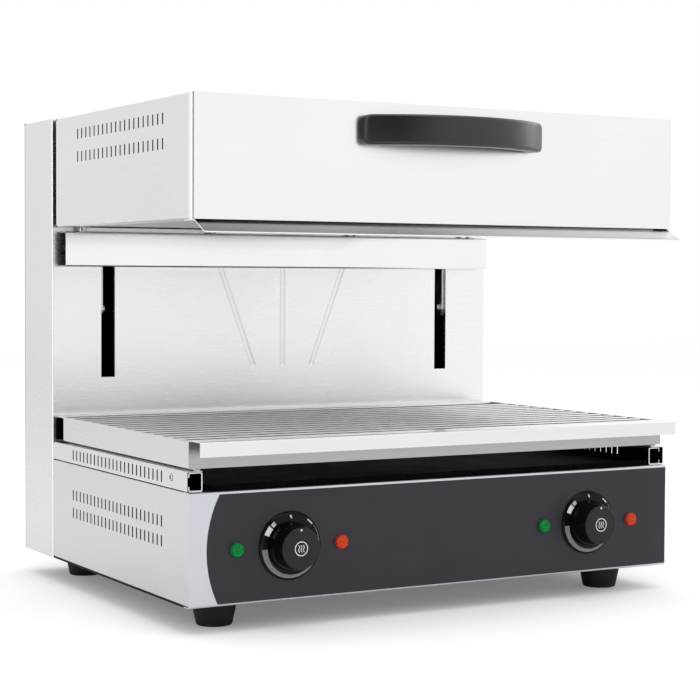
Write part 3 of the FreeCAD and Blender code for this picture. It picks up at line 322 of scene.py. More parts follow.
def lipShare(tree, point, finish):
    # Painted shade: the lip's front is darker toward its lower edge and left end, with a painted
    # shadow line over its hem.
    low, high = span(*finish["nodes"])
    where = put(tree, "SeparateXYZ", {0: point})
    hem = low[2] + finish["hem"]
    down = ranged(tree, where["Z"], 1.0, lipShade["atTop"], hem, high[2])
    toLeft = ranged(tree, where["X"], 1.0, 0.0, low[0], high[0])
    fade = maths(tree, "ADD", times(tree, down, finish["fade"][0]),
                 times(tree, toLeft, finish["fade"][1]))
    line = ranged(tree, where["Z"], lipShade["line"], 0.0, hem, hem + lipShade["lineHeight"])
    fade = times(tree, maths(tree, "MAXIMUM", fade, line),
                 maths(tree, "GREATER_THAN", where["Z"], hem))
    return times(tree, fade, maths(tree, "LESS_THAN", facing(tree, "Y"), 0.0))


def rimShare(tree, strength):
    # Painted shade: the rounded rim of a screw head, where it leans away from both level axes, is
    # coloured dark.
    most = maths(tree, "MAXIMUM", maths(tree, "ABSOLUTE", facing(tree, "X")),
                 maths(tree, "ABSOLUTE", facing(tree, "Y")))
    return ranged(tree, most, strength, 0.0, 0.7, 0.93)


def brushedSteel(name, ownFinish):
    # Long fine streaks along the sheet, soft clouds over it and a slight waviness of the sheet.
    finish = {**sheetFinish, **ownFinish}
    material, tree, surface = newMaterial(name)
    point = put(tree, "TexCoord")["Object"]
    level = maths(tree, "GREATER_THAN", maths(tree, "ABSOLUTE", facing(tree, "Z")), 0.7)
    grains = {"X": (1.0, 0.004, 0.004), "Y": (0.004, 1.0, 0.004), "Z": (0.004, 0.004, 1.0)}
    upright, flat = (put(tree, "Mapping", {"Vector": point, "Scale": grains[finish[key]]})["Vector"]
                     for key in ("across", "flatAcross"))
    grain = put(tree, "Mix", {0: level, 4: upright, 5: flat}, data_type="VECTOR")[1]
    fine = noiseOf(tree, grain, finish["fineScale"], 4.0)
    coarse = noiseOf(tree, grain, finish["coarseScale"], 3.0, roughness=0.65)
    cloud = noiseOf(tree, point, finish["cloudScale"], 3.0)
    streak = maths(tree, "ADD", times(tree, fine, 1.0 - finish["coarseShare"]),
                   times(tree, coarse, finish["coarseShare"]))
    tone = finish["tone"]
    dark = colour(*[value * finish["streakDark"] for value in tone])
    base = mixed(tree, shareOf(tree, streak, *noiseRange), dark, colour(*tone))
    base = mixed(tree, shareOf(tree, cloud, 0.35, 0.7), base, colour(*finish["cloudTone"]),
                 "MULTIPLY")
    rough, spread = finish["roughness"], finish["shineSpread"]
    shine = maths(tree, "ADD",
                  ranged(tree, streak, rough - spread, rough + 0.014, *noiseRange),
                  ranged(tree, cloud, -spread, 0.015, *noiseRange))
    if "inside" in finish:
        # Painted shade: the unlit inner faces of a folded sheet, and other faces lying in shade, are
        # coloured dark and dull within the given boxes.
        mask = 0.0
        for limits in finish["inside"]:
            mask = maths(tree, "MAXIMUM", boxMask(tree, point, limits), mask)
        base = mixed(tree, mask, base, colour(*finish["insideTone"]))
        shine = maths(tree, "MAXIMUM", shine, times(tree, mask, finish["insideRough"]))
    if "flanks" in finish:
        # Painted shade on the rods' lower front flanks.
        base = mixed(tree, flankShare(tree, finish["flanks"]), base, grey(0.012))
    if "creases" in finish:
        # Painted shade in the bead creases.
        base = mixed(tree, creaseShare(tree, finish["creases"]), base, grey(0.05))
    if "fade" in finish:
        # Painted shade on the lip's front.
        base = mixed(tree, lipShare(tree, point, finish), base, grey(0.02))
    if "rims" in finish:
        # Painted shade on the screw heads' rims.
        base = mixed(tree, rimShare(tree, finish["rims"]), base, grey(0.02))
    if "bright" in finish:
        # Painted highlight: the rounded fold that catches the light is coloured white.
        base = mixed(tree, boxMask(tree, point, finish["bright"]), base, grey(1.0))
    wave = noiseOf(tree, point, finish["waveScale"], 1.0, finish["waveStretch"])
    normal = bumped(tree, wave, finish["wave"])
    normal = bumped(tree, streak, 0.00001 * finish["relief"], normal)
    setSockets(tree, surface, {"Base Color": base, "Metallic": finish["metallic"],
                               "Roughness": shine, "Normal": normal})
    return material


plasticFinish = {"cloudScale": 24.0, "paler": 1.35, "speck": 0.25, "specular": 0.5}


def mouldedPlastic(name, ownFinish):
    # Moulded plastic or rubber: a fine grain, and soft clouds in its shine and colour.
    finish = {**plasticFinish, **ownFinish}
    material, tree, surface = newMaterial(name)
    point = put(tree, "TexCoord")["Object"]
    grain = noiseOf(tree, point, finish["grainScale"], 3.0)
    cloud = noiseOf(tree, point, finish["cloudScale"], 3.0)
    tone = finish["tone"]
    pale = colour(*[min(1.0, value * finish["paler"] + 0.001) for value in tone])
    base = mixed(tree, shareOf(tree, cloud, 0.3, 0.72), colour(*tone), pale)
    speck = times(tree, shareOf(tree, grain, 0.62, 0.78), finish["speck"])
    base = mixed(tree, speck, base, pale)
    rough = finish["roughness"]
    shine = maths(tree, "ADD", ranged(tree, cloud, rough - 0.03, rough + 0.05, *noiseRange),
                  ranged(tree, grain, -0.02, 0.04, *noiseRange))
    setSockets(tree, surface, {"Base Color": base, "Roughness": shine,
                               "Normal": bumped(tree, grain, finish["grainDepth"]),
                               "Specular IOR Level": finish["specular"]})
    return material


def lampLens(name, finish):
    # Clear coloured plastic with a painted glow: brighter where the surface faces the front, with
    # painted shade toward its rim.
    material, tree, surface = newMaterial(name)
    point = put(tree, "TexCoord")["Object"]
    pebble = cellsOf(tree, point, 620.0)
    cloud = noiseOf(tree, point, 260.0, 2.0)
    deep = colour(*finish["deep"])
    glow = mixed(tree, shareOf(tree, pebble, 0.05, 0.75), colour(*finish["tone"]), deep)
    # Painted shade: away from the front, the rim turns to the deep colour.
    rim = ranged(tree, facing(tree, "Y"), 0.0, 0.85, -0.97, -0.7)
    dull = maths(tree, "MAXIMUM", ranged(tree, cloud, 0.0, 0.5, *noiseRange), rim)
    base = mixed(tree, dull, glow, deep)
    # Painted glow: the lens emits its own colour to keep it strong.
    setSockets(tree, surface, {"Base Color": base, "Emission Color": base,
                               "Emission Strength": finish["glow"], "Specular IOR Level": 0.16,
                               "Roughness": ranged(tree, cloud, 0.1, 0.24, *noiseRange),
                               "Normal": bumped(tree, pebble, 0.00025)})
    return material


def printedInk(name, tone, dots=False):
    # Printed ink with slightly uneven cover; the grey tint is a fine dot screen.
    material, tree, surface = newMaterial(name)
    point = put(tree, "TexCoord")["Object"]
    cloud = noiseOf(tree, point, 900.0, 3.0)
    thin = colour(*[value * 0.82 for value in tone])
    base = mixed(tree, shareOf(tree, cloud, 0.35, 0.65), thin, colour(*tone))
    if dots:
        spread = cellsOf(tree, point, 1500.0)
        base = mixed(tree, ranged(tree, spread, 0.0, 0.6, 0.2, 0.6), base,
                     colour(0.02, 0.02, 0.022))
    setSockets(tree, surface, {"Base Color": base, "Roughness": ranged(tree, cloud, 0.34, 0.5),
                               "Normal": bumped(tree, cloud, 0.00002)})
    return material


baseSides = ["left_base_side", "right_base_side"]
railCovers = ["left_rail_cover", "right_rail_cover"]
railChannels = ["left_rail_channel", "right_rail_channel"]
sheets = {
    # one finish for each sheet: its nodes, its tone and the boxes of painted shade over its inner
    # faces and shaded parts
    "hoodFront": {"nodes": ["hood_front_panel"], "tone": (0.93, 0.93, 0.935), "roughness": 0.24,
                  "wave": 0.002},
    "hoodLip": {"nodes": ["hood_lip"], "tone": (0.95, 0.95, 0.955), "roughness": 0.26,
                "wave": 0.001, "fade": (0.25, 0.6), "hem": 0.0014},
    "hoodWrap": {"nodes": ["hood_shell"], "tone": (0.765, 0.765, 0.77), "roughness": 0.27,
                 "wave": 0.006, "waveScale": 2.6, "waveStretch": (1.0, 1.6, 0.5),
                 "inside": [within(["hood_shell"], X=(0.0001, 0.0001), Z=(0.03, 0.016)),
                            within(["hood_shell"], X=(0.0007, 0.0007), Z=(0.0007, 0.0008))]},
    "columnWrap": {"nodes": ["column_shell"], "tone": (0.76, 0.76, 0.765), "roughness": 0.28,
                   "wave": 0.004,
                   "inside": [within(["column_shell"], X=(0.0008, 0.0008), Y=(0.0003, 0),
                                     Z=(0, 0.0008))],
                   # painted highlight: the front fold of the column shell is coloured white
                   "bright": within(["column_shell"], Y=(0, columnDepth - 0.0016))},
    "columnFront": {"nodes": ["column_front_panel"], "tone": (0.95, 0.95, 0.955),
                    "roughness": 0.27, "wave": 0.003, "creases": 0.22,
                    # painted shade: the panel below the rack is coloured near black
                    "inside": [{"Z": (0.0, rackLow)}], "insideTone": (0.004, 0.004, 0.004)},
    "baseFront": {"nodes": ["base_front_panel"], "tone": (0.66, 0.68, 0.72), "roughness": 0.26,
                  "wave": 0.002},
    "baseSide": {"nodes": baseSides, "tone": (0.68, 0.68, 0.685), "roughness": 0.28,
                 "wave": 0.004,
                 "inside": [within(baseSides, X=(0.0001, 0.0001), Z=(0.004, 0.004)),
                            within(baseSides, X=(0.0007, 0.0007))]},
    "railCover": {"nodes": railCovers, "tone": (0.73, 0.73, 0.735), "roughness": 0.28,
                  "wave": 0.002,
                  "inside": [within(railCovers, X=(0.0001, 0.0001), Y=(0.02, 0),
                                    Z=(0.003, 0.003)),
                             within(railCovers, X=(0.0007, 0.0007), Z=(0, 0.0007))]},
    "railChannel": {"nodes": railChannels, "tone": (0.85, 0.85, 0.86), "roughness": 0.26,
                    "wave": 0.0, "inside": [within(railChannels, Y=(0.0003, 0))],
                    "insideTone": (0.008, 0.008, 0.009), "insideRough": 0.4},
    "rackSide": {"nodes": ["rack_sides"], "tone": (0.70, 0.70, 0.705), "roughness": 0.27,
                 "wave": 0.003},
    "rackFront": {"nodes": ["rack_front"], "tone": (0.88, 0.88, 0.885), "roughness": 0.24,
                  "wave": 0.001,
                  # painted shade: the web under the front lip is coloured a darker grey
                  "inside": [within(["rack_front"], Y=(0.0007, -0.01), Z=(-0.01, 0.0008))],
                  "insideTone": (0.46, 0.46, 0.465), "insideRough": 0.3},
    "rackRear": {"nodes": ["rack_rear"], "tone": (0.80, 0.80, 0.805), "roughness": 0.26,
                 # painted shade: the rear channel below its top edge is coloured near black
                 "wave": 0.001, "inside": [within(["rack_rear"], Z=(-0.01, 0.0025))],
                 "insideTone": (0.006, 0.006, 0.006)},
    "carrier": {"nodes": ["carrier_beam"], "tone": (0.92, 0.92, 0.925), "roughness": 0.08,
                "wave": 0.001,
                "inside": [within(["carrier_beam"], X=(0.0003, 0.0003), Y=(0.0008, -0.01),
                                  Z=(0.0008, 0.0008))]},
    # painted shade: the deck and bottom plates are near black, standing in for the shade inside the
    # base
    "deck": {"nodes": ["deck_plate", "bottom_plate"], "tone": (0.012, 0.012, 0.012),
             "roughness": 0.55, "wave": 0.002},
    "rearCover": {"nodes": ["column_rear_cover"], "tone": (0.84, 0.84, 0.845), "roughness": 0.32,
                  "wave": 0.005, "inside": [within(["column_rear_cover"], Y=(-0.001, 0.0002))]},
    # painted shade: the hood's rear panel is near black so the gap between hood and column reads
    # dark
    "rearPanelShade": {"nodes": ["hood_rear_panel"], "tone": (0.02, 0.02, 0.021), "roughness": 0.5,
                   "wave": 0.002},
    "armPlate": {"nodes": ["left_arm", "right_arm"], "tone": (0.70, 0.70, 0.71),
                 "roughness": 0.3, "wave": 0.0},
    "bracket": {"nodes": ["heater_brackets"], "tone": (0.66, 0.66, 0.67), "roughness": 0.3,
                "wave": 0.0},
    "reflectorSteel": {"nodes": ["reflector"], "tone": (0.93, 0.93, 0.935), "roughness": 0.34,
                       "wave": 0.002, "metallic": 0.3},
    "rod": {"nodes": ["rack_rods"], "tone": (0.97, 0.97, 0.975), "metallic": 0.4,
            "roughness": 0.28, "wave": 0.0, "relief": 0.2, "across": "Y", "flatAcross": "Y",
            "flanks": (-0.87, -0.79)},
    "bar": {"nodes": ["rack_cross_bar"], "tone": (0.80, 0.80, 0.81), "roughness": 0.22,
            "wave": 0.0, "relief": 0.2, "across": "X", "flatAcross": "X"},
    "zinc": {"nodes": ["foot_screws", "handle_screws", "beam_bolts", "roller_axles", "left_shaft",
                       "right_shaft", "rail_screws", "rear_cover_screws"],
             "tone": (0.66, 0.67, 0.69), "roughness": 0.24, "wave": 0.0, "rims": 0.9},
    "springWire": {"nodes": ["left_spring", "right_spring"], "tone": (0.42, 0.42, 0.44),
                   "roughness": 0.3, "wave": 0.0},
    "heaterSheath": {"nodes": ["left_heater", "right_heater"], "tone": (0.24, 0.225, 0.21),
                     "roughness": 0.46, "wave": 0.0, "relief": 2.0, "streakDark": 0.7},
}
steels = {name: brushedSteel(name, finish) for name, finish in sheets.items()}
plastics = {name: mouldedPlastic(name, finish) for name, finish in {
    "overlayFilm": {"tone": (0.0155, 0.014, 0.0208), "roughness": 0.42, "grainScale": 2600.0,
                    "grainDepth": 0.00003, "specular": 0.42, "speck": 0.15},
    "dialBlack": {"tone": (0.0022, 0.0022, 0.0024), "roughness": 0.12, "grainScale": 1800.0,
                  "grainDepth": 0.000004, "specular": 0.16, "speck": 0.05},
    "knobBlack": {"tone": (0.009, 0.009, 0.0098), "roughness": 0.34, "grainScale": 2400.0,
                  "grainDepth": 0.00004, "specular": 0.32, "speck": 0.3},
    "knobSide": {"tone": (0.0022, 0.0022, 0.0024), "roughness": 0.14, "grainScale": 1500.0,
                 "grainDepth": 0.000004, "specular": 0.2, "speck": 0.05},
    "handleBlack": {"tone": (0.0008, 0.0008, 0.0009), "roughness": 0.3, "grainScale": 1900.0,
                    "grainDepth": 0.00004, "specular": 0.72, "speck": 0.3, "paler": 1.0},
    "footRubber": {"tone": (0.010, 0.010, 0.010), "roughness": 0.62, "grainScale": 1400.0,
                   "grainDepth": 0.00009, "specular": 0.3, "speck": 0.4},
    "blackPaint": {"tone": (0.003, 0.003, 0.003), "roughness": 0.55, "grainScale": 900.0,
                   "grainDepth": 0.00006, "specular": 0.08, "paler": 1.0},
    # painted shade: the tray is near black with almost no shine, for the dark space under the rack
    "trayShadeBlack": {"tone": (0.0022, 0.0022, 0.0024), "roughness": 0.5, "grainScale": 300.0,
                   "grainDepth": 0.00001, "specular": 0.015, "speck": 0.0, "paler": 1.0},
    "paleMoulding": {"tone": (0.66, 0.65, 0.60), "roughness": 0.42, "grainScale": 1500.0,
                     "grainDepth": 0.00004, "paler": 1.12},
    "nylon": {"tone": (0.72, 0.71, 0.66), "roughness": 0.36, "grainScale": 1200.0,
              "grainDepth": 0.00003, "paler": 1.1},
    "ceramic": {"tone": (0.70, 0.67, 0.61), "roughness": 0.55, "grainScale": 700.0,
                "grainDepth": 0.00008, "paler": 1.15},
    "glandBlack": {"tone": (0.012, 0.012, 0.013), "roughness": 0.4, "grainScale": 1500.0,
                   "grainDepth": 0.00005},
    "mineralWool": {"tone": (0.62, 0.57, 0.44), "roughness": 0.95, "grainScale": 420.0,
                    "grainDepth": 0.0012, "paler": 1.3, "specular": 0.1, "speck": 0.8},
}.items()}
lenses = {name: lampLens(name + "Lens", finish) for name, finish in {
    "green": {"tone": (0.0, 0.36, 0.065), "deep": (0.0, 0.11, 0.02), "glow": 0.14},
    "orange": {"tone": (0.80, 0.10, 0.022), "deep": (0.36, 0.02, 0.008), "glow": 0.2},
}.items()}
whiteInk = printedInk("whiteInk", (0.86, 0.87, 0.90))
greyInk = printedInk("greyInk", (0.40, 0.41, 0.44), dots=True)

nodeFinish = {
    **{name: finish["nodes"] for name, finish in sheets.items()},
    "overlayFilm": ["control_overlay"],
    "dialBlack": ["left_dial", "right_dial"],
    "knobBlack": ["left_knob", "right_knob"],
    "handleBlack": ["handle"],
    "footRubber": ["rubber_feet"],
    "blackPaint": ["left_guide_rail", "right_guide_rail", "spring_anchors"],
    "trayShadeBlack": ["crumb_tray"],
    "paleMoulding": ["left_regulator", "right_regulator"],
    "nylon": ["left_lower_roller", "left_upper_roller", "right_lower_roller",
              "right_upper_roller"],
    "ceramic": ["terminal_block"],
    "glandBlack": ["cable_gland"],
    "mineralWool": ["hood_insulation"],
    "greenLens": ["green_lamps"],
    "orangeLens": ["orange_lamps"],
}
for materialName, members in nodeFinish.items():
    for member in members:
        mesh = nodes[member].data
        mesh.materials.clear()
        mesh.materials.append(bpy.data.materials[materialName])
unfinished = sorted(set(nodes) - {name for members in nodeFinish.values() for name in members})
print("materials set; nodes without one:", unfinished)


# Knobs, dials and lamps

knobLow, knobHigh = span("right_knob")
knobMiddle = (knobLow + knobHigh) / 2
knob = {"centreX": knobMiddle[0], "centreZ": knobMiddle[2], "foot": frontY - knobHigh[1],
        "top": frontY - knobLow[1], "radius": (knobHigh[0] - knobLow[0]) / 2,
        "faceRadius": 0.0213, "skirt": 0.003, "edge": 0.0015, "footEdge": 0.0003,
        "skirtEdge": 0.0006, "inkSunk": 0.0001, "inkDepth": 0.00008,
        "markWidth": 0.0018, "markLength": 0.0021, "ringRadius": 0.0070, "ringWidth": 0.0009,
        "waveHeight": 0.0074, "waveSpread": 0.0027, "waveWidth": 0.0007, "waveSway": 0.0005,
        "waveBend": 4.2}


def makeKnob(side, name):
    # A profile goes round the axis: a straight skirt, then a cone up to the rounded rim of the face.
    centre = (side * knob["centreX"], knob["centreZ"])
    profile = roundedProfile([(0, knob["foot"]), (knob["radius"], knob["foot"], knob["footEdge"]),
                              (knob["radius"], knob["foot"] + knob["skirt"], knob["skirtEdge"]),
                              (knob["faceRadius"], knob["top"], knob["edge"]), (0, knob["top"])])
    body = revolved(profile, (centre[0], frontY, centre[1]), (0, -1, 0), 96)
    piece = addPiece(name + "KnobBody", [body], plastics["knobSide"], name + "_knob",
                     [name + "_knob"])
    mesh = piece.data
    mesh.materials.append(plastics["knobBlack"])
    normals = np.zeros(3 * len(mesh.polygons))
    mesh.polygons.foreach_get("normal", normals)
    isFront = normals.reshape(-1, 3)[:, 1] < -0.6      # the face is grained, the side glossy
    mesh.polygons.foreach_set("material_index", isFront.astype(int))
    # The marks: a pointer at the rim, and a ring with three upright waves across it, each at
    # (sway * sin(bend * share), share * height / 2) for a share from -1 to 1.
    low, high = knob["top"] - knob["inkSunk"], knob["top"] + knob["inkDepth"]
    outer = knob["faceRadius"] - knob["edge"]
    pointer = np.array([[0, outer - knob["markLength"]], [0, outer]])
    ring = arcLine(knob["ringRadius"], 0, 360, 61)[:-1]
    share = np.linspace(-1, 1, 25)
    waveX = knob["waveSway"] * np.sin(share * knob["waveBend"])
    waveZ = share * knob["waveHeight"] / 2
    waves = [np.stack([step * knob["waveSpread"] + waveX, waveZ], axis=1) for step in (-1, 0, 1)]
    strips = [printedStrip(pointer, knob["markWidth"], centre, low, high),
              printedStrip(ring, knob["ringWidth"], centre, low, high, closed=True)]
    strips += [printedStrip(wave, knob["waveWidth"], centre, low, high) for wave in waves]
    addPiece(name + "KnobMarks", strips, whiteInk, name + "_knob", (),
             smooth=False, weld=meshing["fineWeld"])


dialLow, dialHigh = span("right_dial")
dialRadius = (dialHigh[0] - dialLow[0]) / 2
dial = {"low": frontY - dialHigh[1], "top": frontY - dialLow[1], "radius": dialRadius,
        "bevel": 0.0014, "bevelEdge": 0.0005, "footEdge": 0.0002, "hole": 0.0052,
        "outerInk": dialRadius - 0.0024, "innerInk": dialRadius - 0.0080, "inkSunk": 0.0001,
        "inkDepth": 0.00012, "wedge": (0.0004, 0.0064), "wedgeAngles": (52, 266),
        "wedgeSwell": 1.4, "tickLean": 0.0007, "tickHeight": 0.0017, "tickWidth": 0.0015,
        "dashAngles": (36, 49), "dashInset": 0.0006, "dashWidth": 0.0012,
        "blockAngles": (-66.5, -48.5), "lineAngles": (-45.5, -36.5),
        "lineSpacing": 0.27, "lineWidth": 0.17}      # these two are shares of the ink's band


def makeDial(side, name):
    # A flat ring with a bevelled rim, its profile carried round the knob's axis.
    centre = (side * knob["centreX"], knob["centreZ"])
    profile = roundedProfile([(dial["hole"], dial["low"]),
                              (dial["radius"], dial["low"], dial["footEdge"]),
                              (dial["radius"], dial["top"] - dial["bevel"], dial["bevelEdge"]),
                              (dial["radius"] - dial["bevel"], dial["top"], dial["bevelEdge"]),
                              (dial["hole"], dial["top"]), (dial["hole"], dial["low"])])
    ring = revolved(profile, (centre[0], frontY, centre[1]), (0, -1, 0), 128)
    addPiece(name + "DialRing", [ring], plastics["dialBlack"], "cabinet", [name + "_dial"])
    low, high = dial["top"] - dial["inkSunk"], dial["top"] + dial["inkDepth"]
    middle = (dial["outerInk"] + dial["innerInk"]) / 2
    band = dial["outerInk"] - dial["innerInk"]
    # The wedge keeps its outer edge on one circle and widens clockwise by
    # thin + (wide - thin) * share ^ swell.
    share = np.linspace(0, 1, 90)
    (thin, wide), (start, end) = dial["wedge"], dial["wedgeAngles"]
    width = thin + (wide - thin) * share ** dial["wedgeSwell"]
    wedge = onCircle(dial["outerInk"] - width / 2, np.radians(start + (end - start) * share))
    addPiece(name + "DialWedge", [printedStrip(wedge, width, centre, low, high)], greyInk,
             "cabinet", (), smooth=False, weld=meshing["fineWeld"])
    tick = np.array([[dial["tickLean"], middle - dial["tickHeight"]],
                     [-dial["tickLean"], middle + dial["tickHeight"]]])
    dash = arcLine(dial["outerInk"] - dial["dashInset"], *dial["dashAngles"], 8)
    block = arcLine(middle, *dial["blockAngles"], 12)
    strips = [printedStrip(tick, dial["tickWidth"], centre, low, high),
              printedStrip(dash, dial["dashWidth"], centre, low, high),
              printedStrip(block, band, centre, low, high)]
    for step in (-1, 0, 1):
        line = arcLine(middle + step * dial["lineSpacing"] * band, *dial["lineAngles"], 8)
        strips.append(printedStrip(line, band * dial["lineWidth"], centre, low, high))
    addPiece(name + "DialMarks", strips, whiteInk, "cabinet", (),
             smooth=False, weld=meshing["fineWeld"])


lampLow, lampHigh = span("green_lamps")
lampCap = {"radius": (lampHigh[2] - lampLow[2]) / 2, "low": dial["low"], "top": frontY - lampLow[1],
           "edge": 0.0025, "rings": 15, "pebble": 0.0019, "relief": 0.00032, "reliefDepth": 0.0022}


def makeLamps(name):
    # Rounded caps: each height gains relief * (|cos(step * across) * cos(step * up)| - 1).
    low, high = span(name + "_lamps")
    radius, top = lampCap["radius"], lampCap["top"]
    profile = roundedProfile([(0, lampCap["low"]), (radius, lampCap["low"]),
                              (radius, top, lampCap["edge"]), (0, top)], steps=14)
    rings = lampCap["rings"]
    cap = np.stack([np.linspace(profile[-2, 0], 0, rings + 1)[1:], np.full(rings, top)], axis=1)
    profile = np.concatenate([profile[:-1], cap])
    step = math.pi / lampCap["pebble"]
    surfaces = []
    for x in (low[0] + radius, high[0] - radius):
        points, faces = revolved(profile, (x, frontY, knob["centreZ"]), (0, -1, 0), 80)
        across, up = points[..., 0] - x, points[..., 2] - knob["centreZ"]
        lattice = np.abs(np.cos(step * across) * np.cos(step * up))
        onCap = profile[:, 1, None] > top - lampCap["reliefDepth"]
        points[..., 1] -= lampCap["relief"] * (lattice - 1) * onCap
        surfaces.append((points, faces))
    addPiece(name + "LampLenses", surfaces, lenses[name], "cabinet", [name + "_lamps"])


for side, name in ((-1, "left"), (1, "right")):
    makeKnob(side, name)
    makeDial(side, name)
for name in ("green", "orange"):
    makeLamps(name)
print("controls made")


# Feet, rods, heaters and screws

footLow, footHigh = span("rubber_feet")
foot = {"top": footHigh[2], "topRadius": 0.0245, "bottomRadius": 0.0185, "edge": 0.002,
        "recess": 0.014, "recessRadius": 0.008, "recessEdge": 0.0008, "topEdge": 0.0004,
        "hole": 0.0027}


def makeFeet():
    # A cone that widens upward, round a recess and a hole: its profile carried round each middle.
    profile = roundedProfile([(foot["hole"], foot["top"]), (foot["hole"], foot["recess"]),
                              (foot["recessRadius"], foot["recess"], foot["recessEdge"]),
                              (foot["recessRadius"], 0, foot["recessEdge"]),
                              (foot["bottomRadius"], 0, foot["edge"]),
                              (foot["topRadius"], foot["top"], foot["topEdge"]),
                              (foot["hole"], foot["top"])])
    inset = foot["topRadius"]
    places = [(x, y, 0.0) for x in (footLow[0] + inset, footHigh[0] - inset)
              for y in (footLow[1] + inset, footHigh[1] - inset)]
    addPiece("rubberFeet", [revolved(profile, place, (0, 0, 1), 64) for place in places],
             plastics["footRubber"], "cabinet", ["rubber_feet"])


rodLow, rodHigh = span("rack_rods")
barLow, barHigh = span("rack_cross_bar")
grid = {"half": rodHigh[0], "radius": (rodHigh[2] - rodLow[2]) / 2, "segments": 24,
        "z": (rodLow[2] + rodHigh[2]) / 2, "count": 13, "barZ": (barLow[2] + barHigh[2]) / 2}


def makeRods():
    # Circles carried along straight lines: the rods at even steps in y, and the bar below them.
    half, radius, z, segments = (grid[key] for key in ("half", "radius", "z", "segments"))
    rods = [tube(np.linspace((-half, y, z), (half, y, z), 3), radius, segments)
            for y in np.linspace(rodLow[1] + radius, rodHigh[1] - radius, grid["count"])]
    addPiece("gridRods", rods, steels["rod"], "rack", ["rack_rods"],
             weld=meshing["fineWeld"])
    line = np.linspace((0.0, barLow[1], grid["barZ"]), (0.0, barHigh[1], grid["barZ"]), 3)
    addPiece("gridCrossBar", [tube(line, radius, segments)], steels["bar"], "rack",
             ["rack_cross_bar"], weld=meshing["fineWeld"])


heaterLow, heaterHigh = span("right_heater")
heater = {"z": (heaterLow[2] + heaterHigh[2]) / 2, "radius": (heaterHigh[2] - heaterLow[2]) / 2,
          "bend": 0.024, "farMargin": 0.043, "nearMargin": 0.0023}


def makeHeater(side, name):
    # A circle carried along a line of four runs and three round bends, its ends out at the side.
    radius, bend, end = heater["radius"], heater["bend"], heaterHigh[0]
    first, second, third, fourth = np.linspace(heaterLow[1] + radius, heaterHigh[1] - radius, 4)
    near, far = heaterLow[0] + radius + heater["nearMargin"], end - heater["farMargin"]
    flat = roundedProfile([(end, first), (near, first, bend), (near, second, bend),
                           (far, second, bend), (far, third, bend), (near, third, bend),
                           (near, fourth, bend), (end, fourth)], 14)
    path = np.column_stack([flat[:, 0] * side, flat[:, 1], np.full(len(flat), heater["z"])])
    addPiece(name + "HeaterTube", [tube(path, radius, 20)], steels["heaterSheath"], "hood",
             [name + "_heater"], weld=meshing["fineWeld"])


caseScrew = {"radius": 0.004, "height": 0.001, "shank": 0.002, "shankSunk": 0.0002,
             "crossLength": 0.0046, "crossWidth": 0.0011, "crossDepth": 0.0007, "rings": 22,
             "segments": 72, "railLength": 0.012, "rearLength": 0.006, "rearRows": 4}


def screwHead(place, toward, turn):
    # A pan head: height * sqrt(1 - (radius / rim)^4), less the cross's depth under either arm.
    axis = np.array(toward, float)
    side = np.array(Vector(toward).orthogonal().normalized())
    other = np.cross(axis, side)
    radius = np.linspace(0, 1, caseScrew["rings"])[:, None] * caseScrew["radius"]
    turn = np.radians(turn)
    angle = np.linspace(0, fullTurn, caseScrew["segments"], endpoint=False)[None] + turn
    u, v = radius * np.cos(angle), radius * np.sin(angle)
    dome = np.sqrt(np.clip(1 - (radius / caseScrew["radius"]) ** 4, 0, 1))
    width, length = caseScrew["crossWidth"] / 2, caseScrew["crossLength"] / 2
    inCross = (((np.abs(u) < width) & (np.abs(v) < length))
               | ((np.abs(v) < width) & (np.abs(u) < length)))
    rise = caseScrew["height"] * dome - caseScrew["crossDepth"] * inCross
    u, v, rise = (np.concatenate([part, 0 * part[:1]]) for part in (u, v, rise))     # its underside
    x, y = u * np.cos(turn) + v * np.sin(turn), v * np.cos(turn) - u * np.sin(turn)
    points = np.asarray(place) + x[..., None] * side + y[..., None] * other + rise[..., None] * axis
    return points, gridFaces(len(points), caseScrew["segments"], wrapColumns=True)


def screwShank(place, toward, length):
    # A cylinder from just behind the head's seat down to its length.
    radius, start = caseScrew["shank"], -caseScrew["shankSunk"]
    profile = np.array([[0, start], [radius, start], [radius, -length], [0, -length]])
    return revolved(profile, place, toward, 16)


def addScrews(name, screws, length, replaced):
    heads = [screwHead(*screw) for screw in screws]
    shanks = [screwShank(place, toward, length) for place, toward, _ in screws]
    addPiece(name, heads + shanks, steels["zinc"], "cabinet", [replaced])


def makeScrews():
    # A screw is its place, the way its head looks and how far its cross is turned, in degrees.
    low, high = span("rail_screws")
    middle = (low + high) / 2
    face = span(*railCovers)[1][0]
    screws = [((side * face, middle[1], middle[2]), (side, 0, 0), 20 + 25 * side)
              for side in (-1, 1)]
    addScrews("railScrewHeads", screws, caseScrew["railLength"], "rail_screws")
    low, high = span("rear_cover_screws")
    radius = caseScrew["radius"]
    face = span("column_rear_cover")[1][1]
    heights = np.linspace(low[2] + radius, high[2] - radius, caseScrew["rearRows"])
    screws = [((side * (high[0] - radius), face, z), (0, 1, 0), 17 * step + 40 * side)
              for side in (-1, 1) for step, z in enumerate(heights)]
    addScrews("rearScrewHeads", screws, caseScrew["rearLength"], "rear_cover_screws")


makeFeet()
makeRods()
makeHeater(-1, "left")
makeHeater(1, "right")
makeScrews()
print("feet, rods, heaters and screws made")


# Handle

handleLow, handleHigh = span("handle")
hoodFront = frontY - span("hood_front_panel")[0][1]
bow = {"half": 0.1115, "gapHalf": 0.0915, "low": handleLow[2], "high": handleHigh[2],
       "back": hoodFront, "endDepth": hoodFront + 0.0095, "depth": frontY - handleLow[1],
       "gapEnd": hoodFront + 0.006, "gapDepth": hoodFront + 0.0375, "corner": 0.0075,
       "edge": 0.0035, "rearEdge": 0.0008}


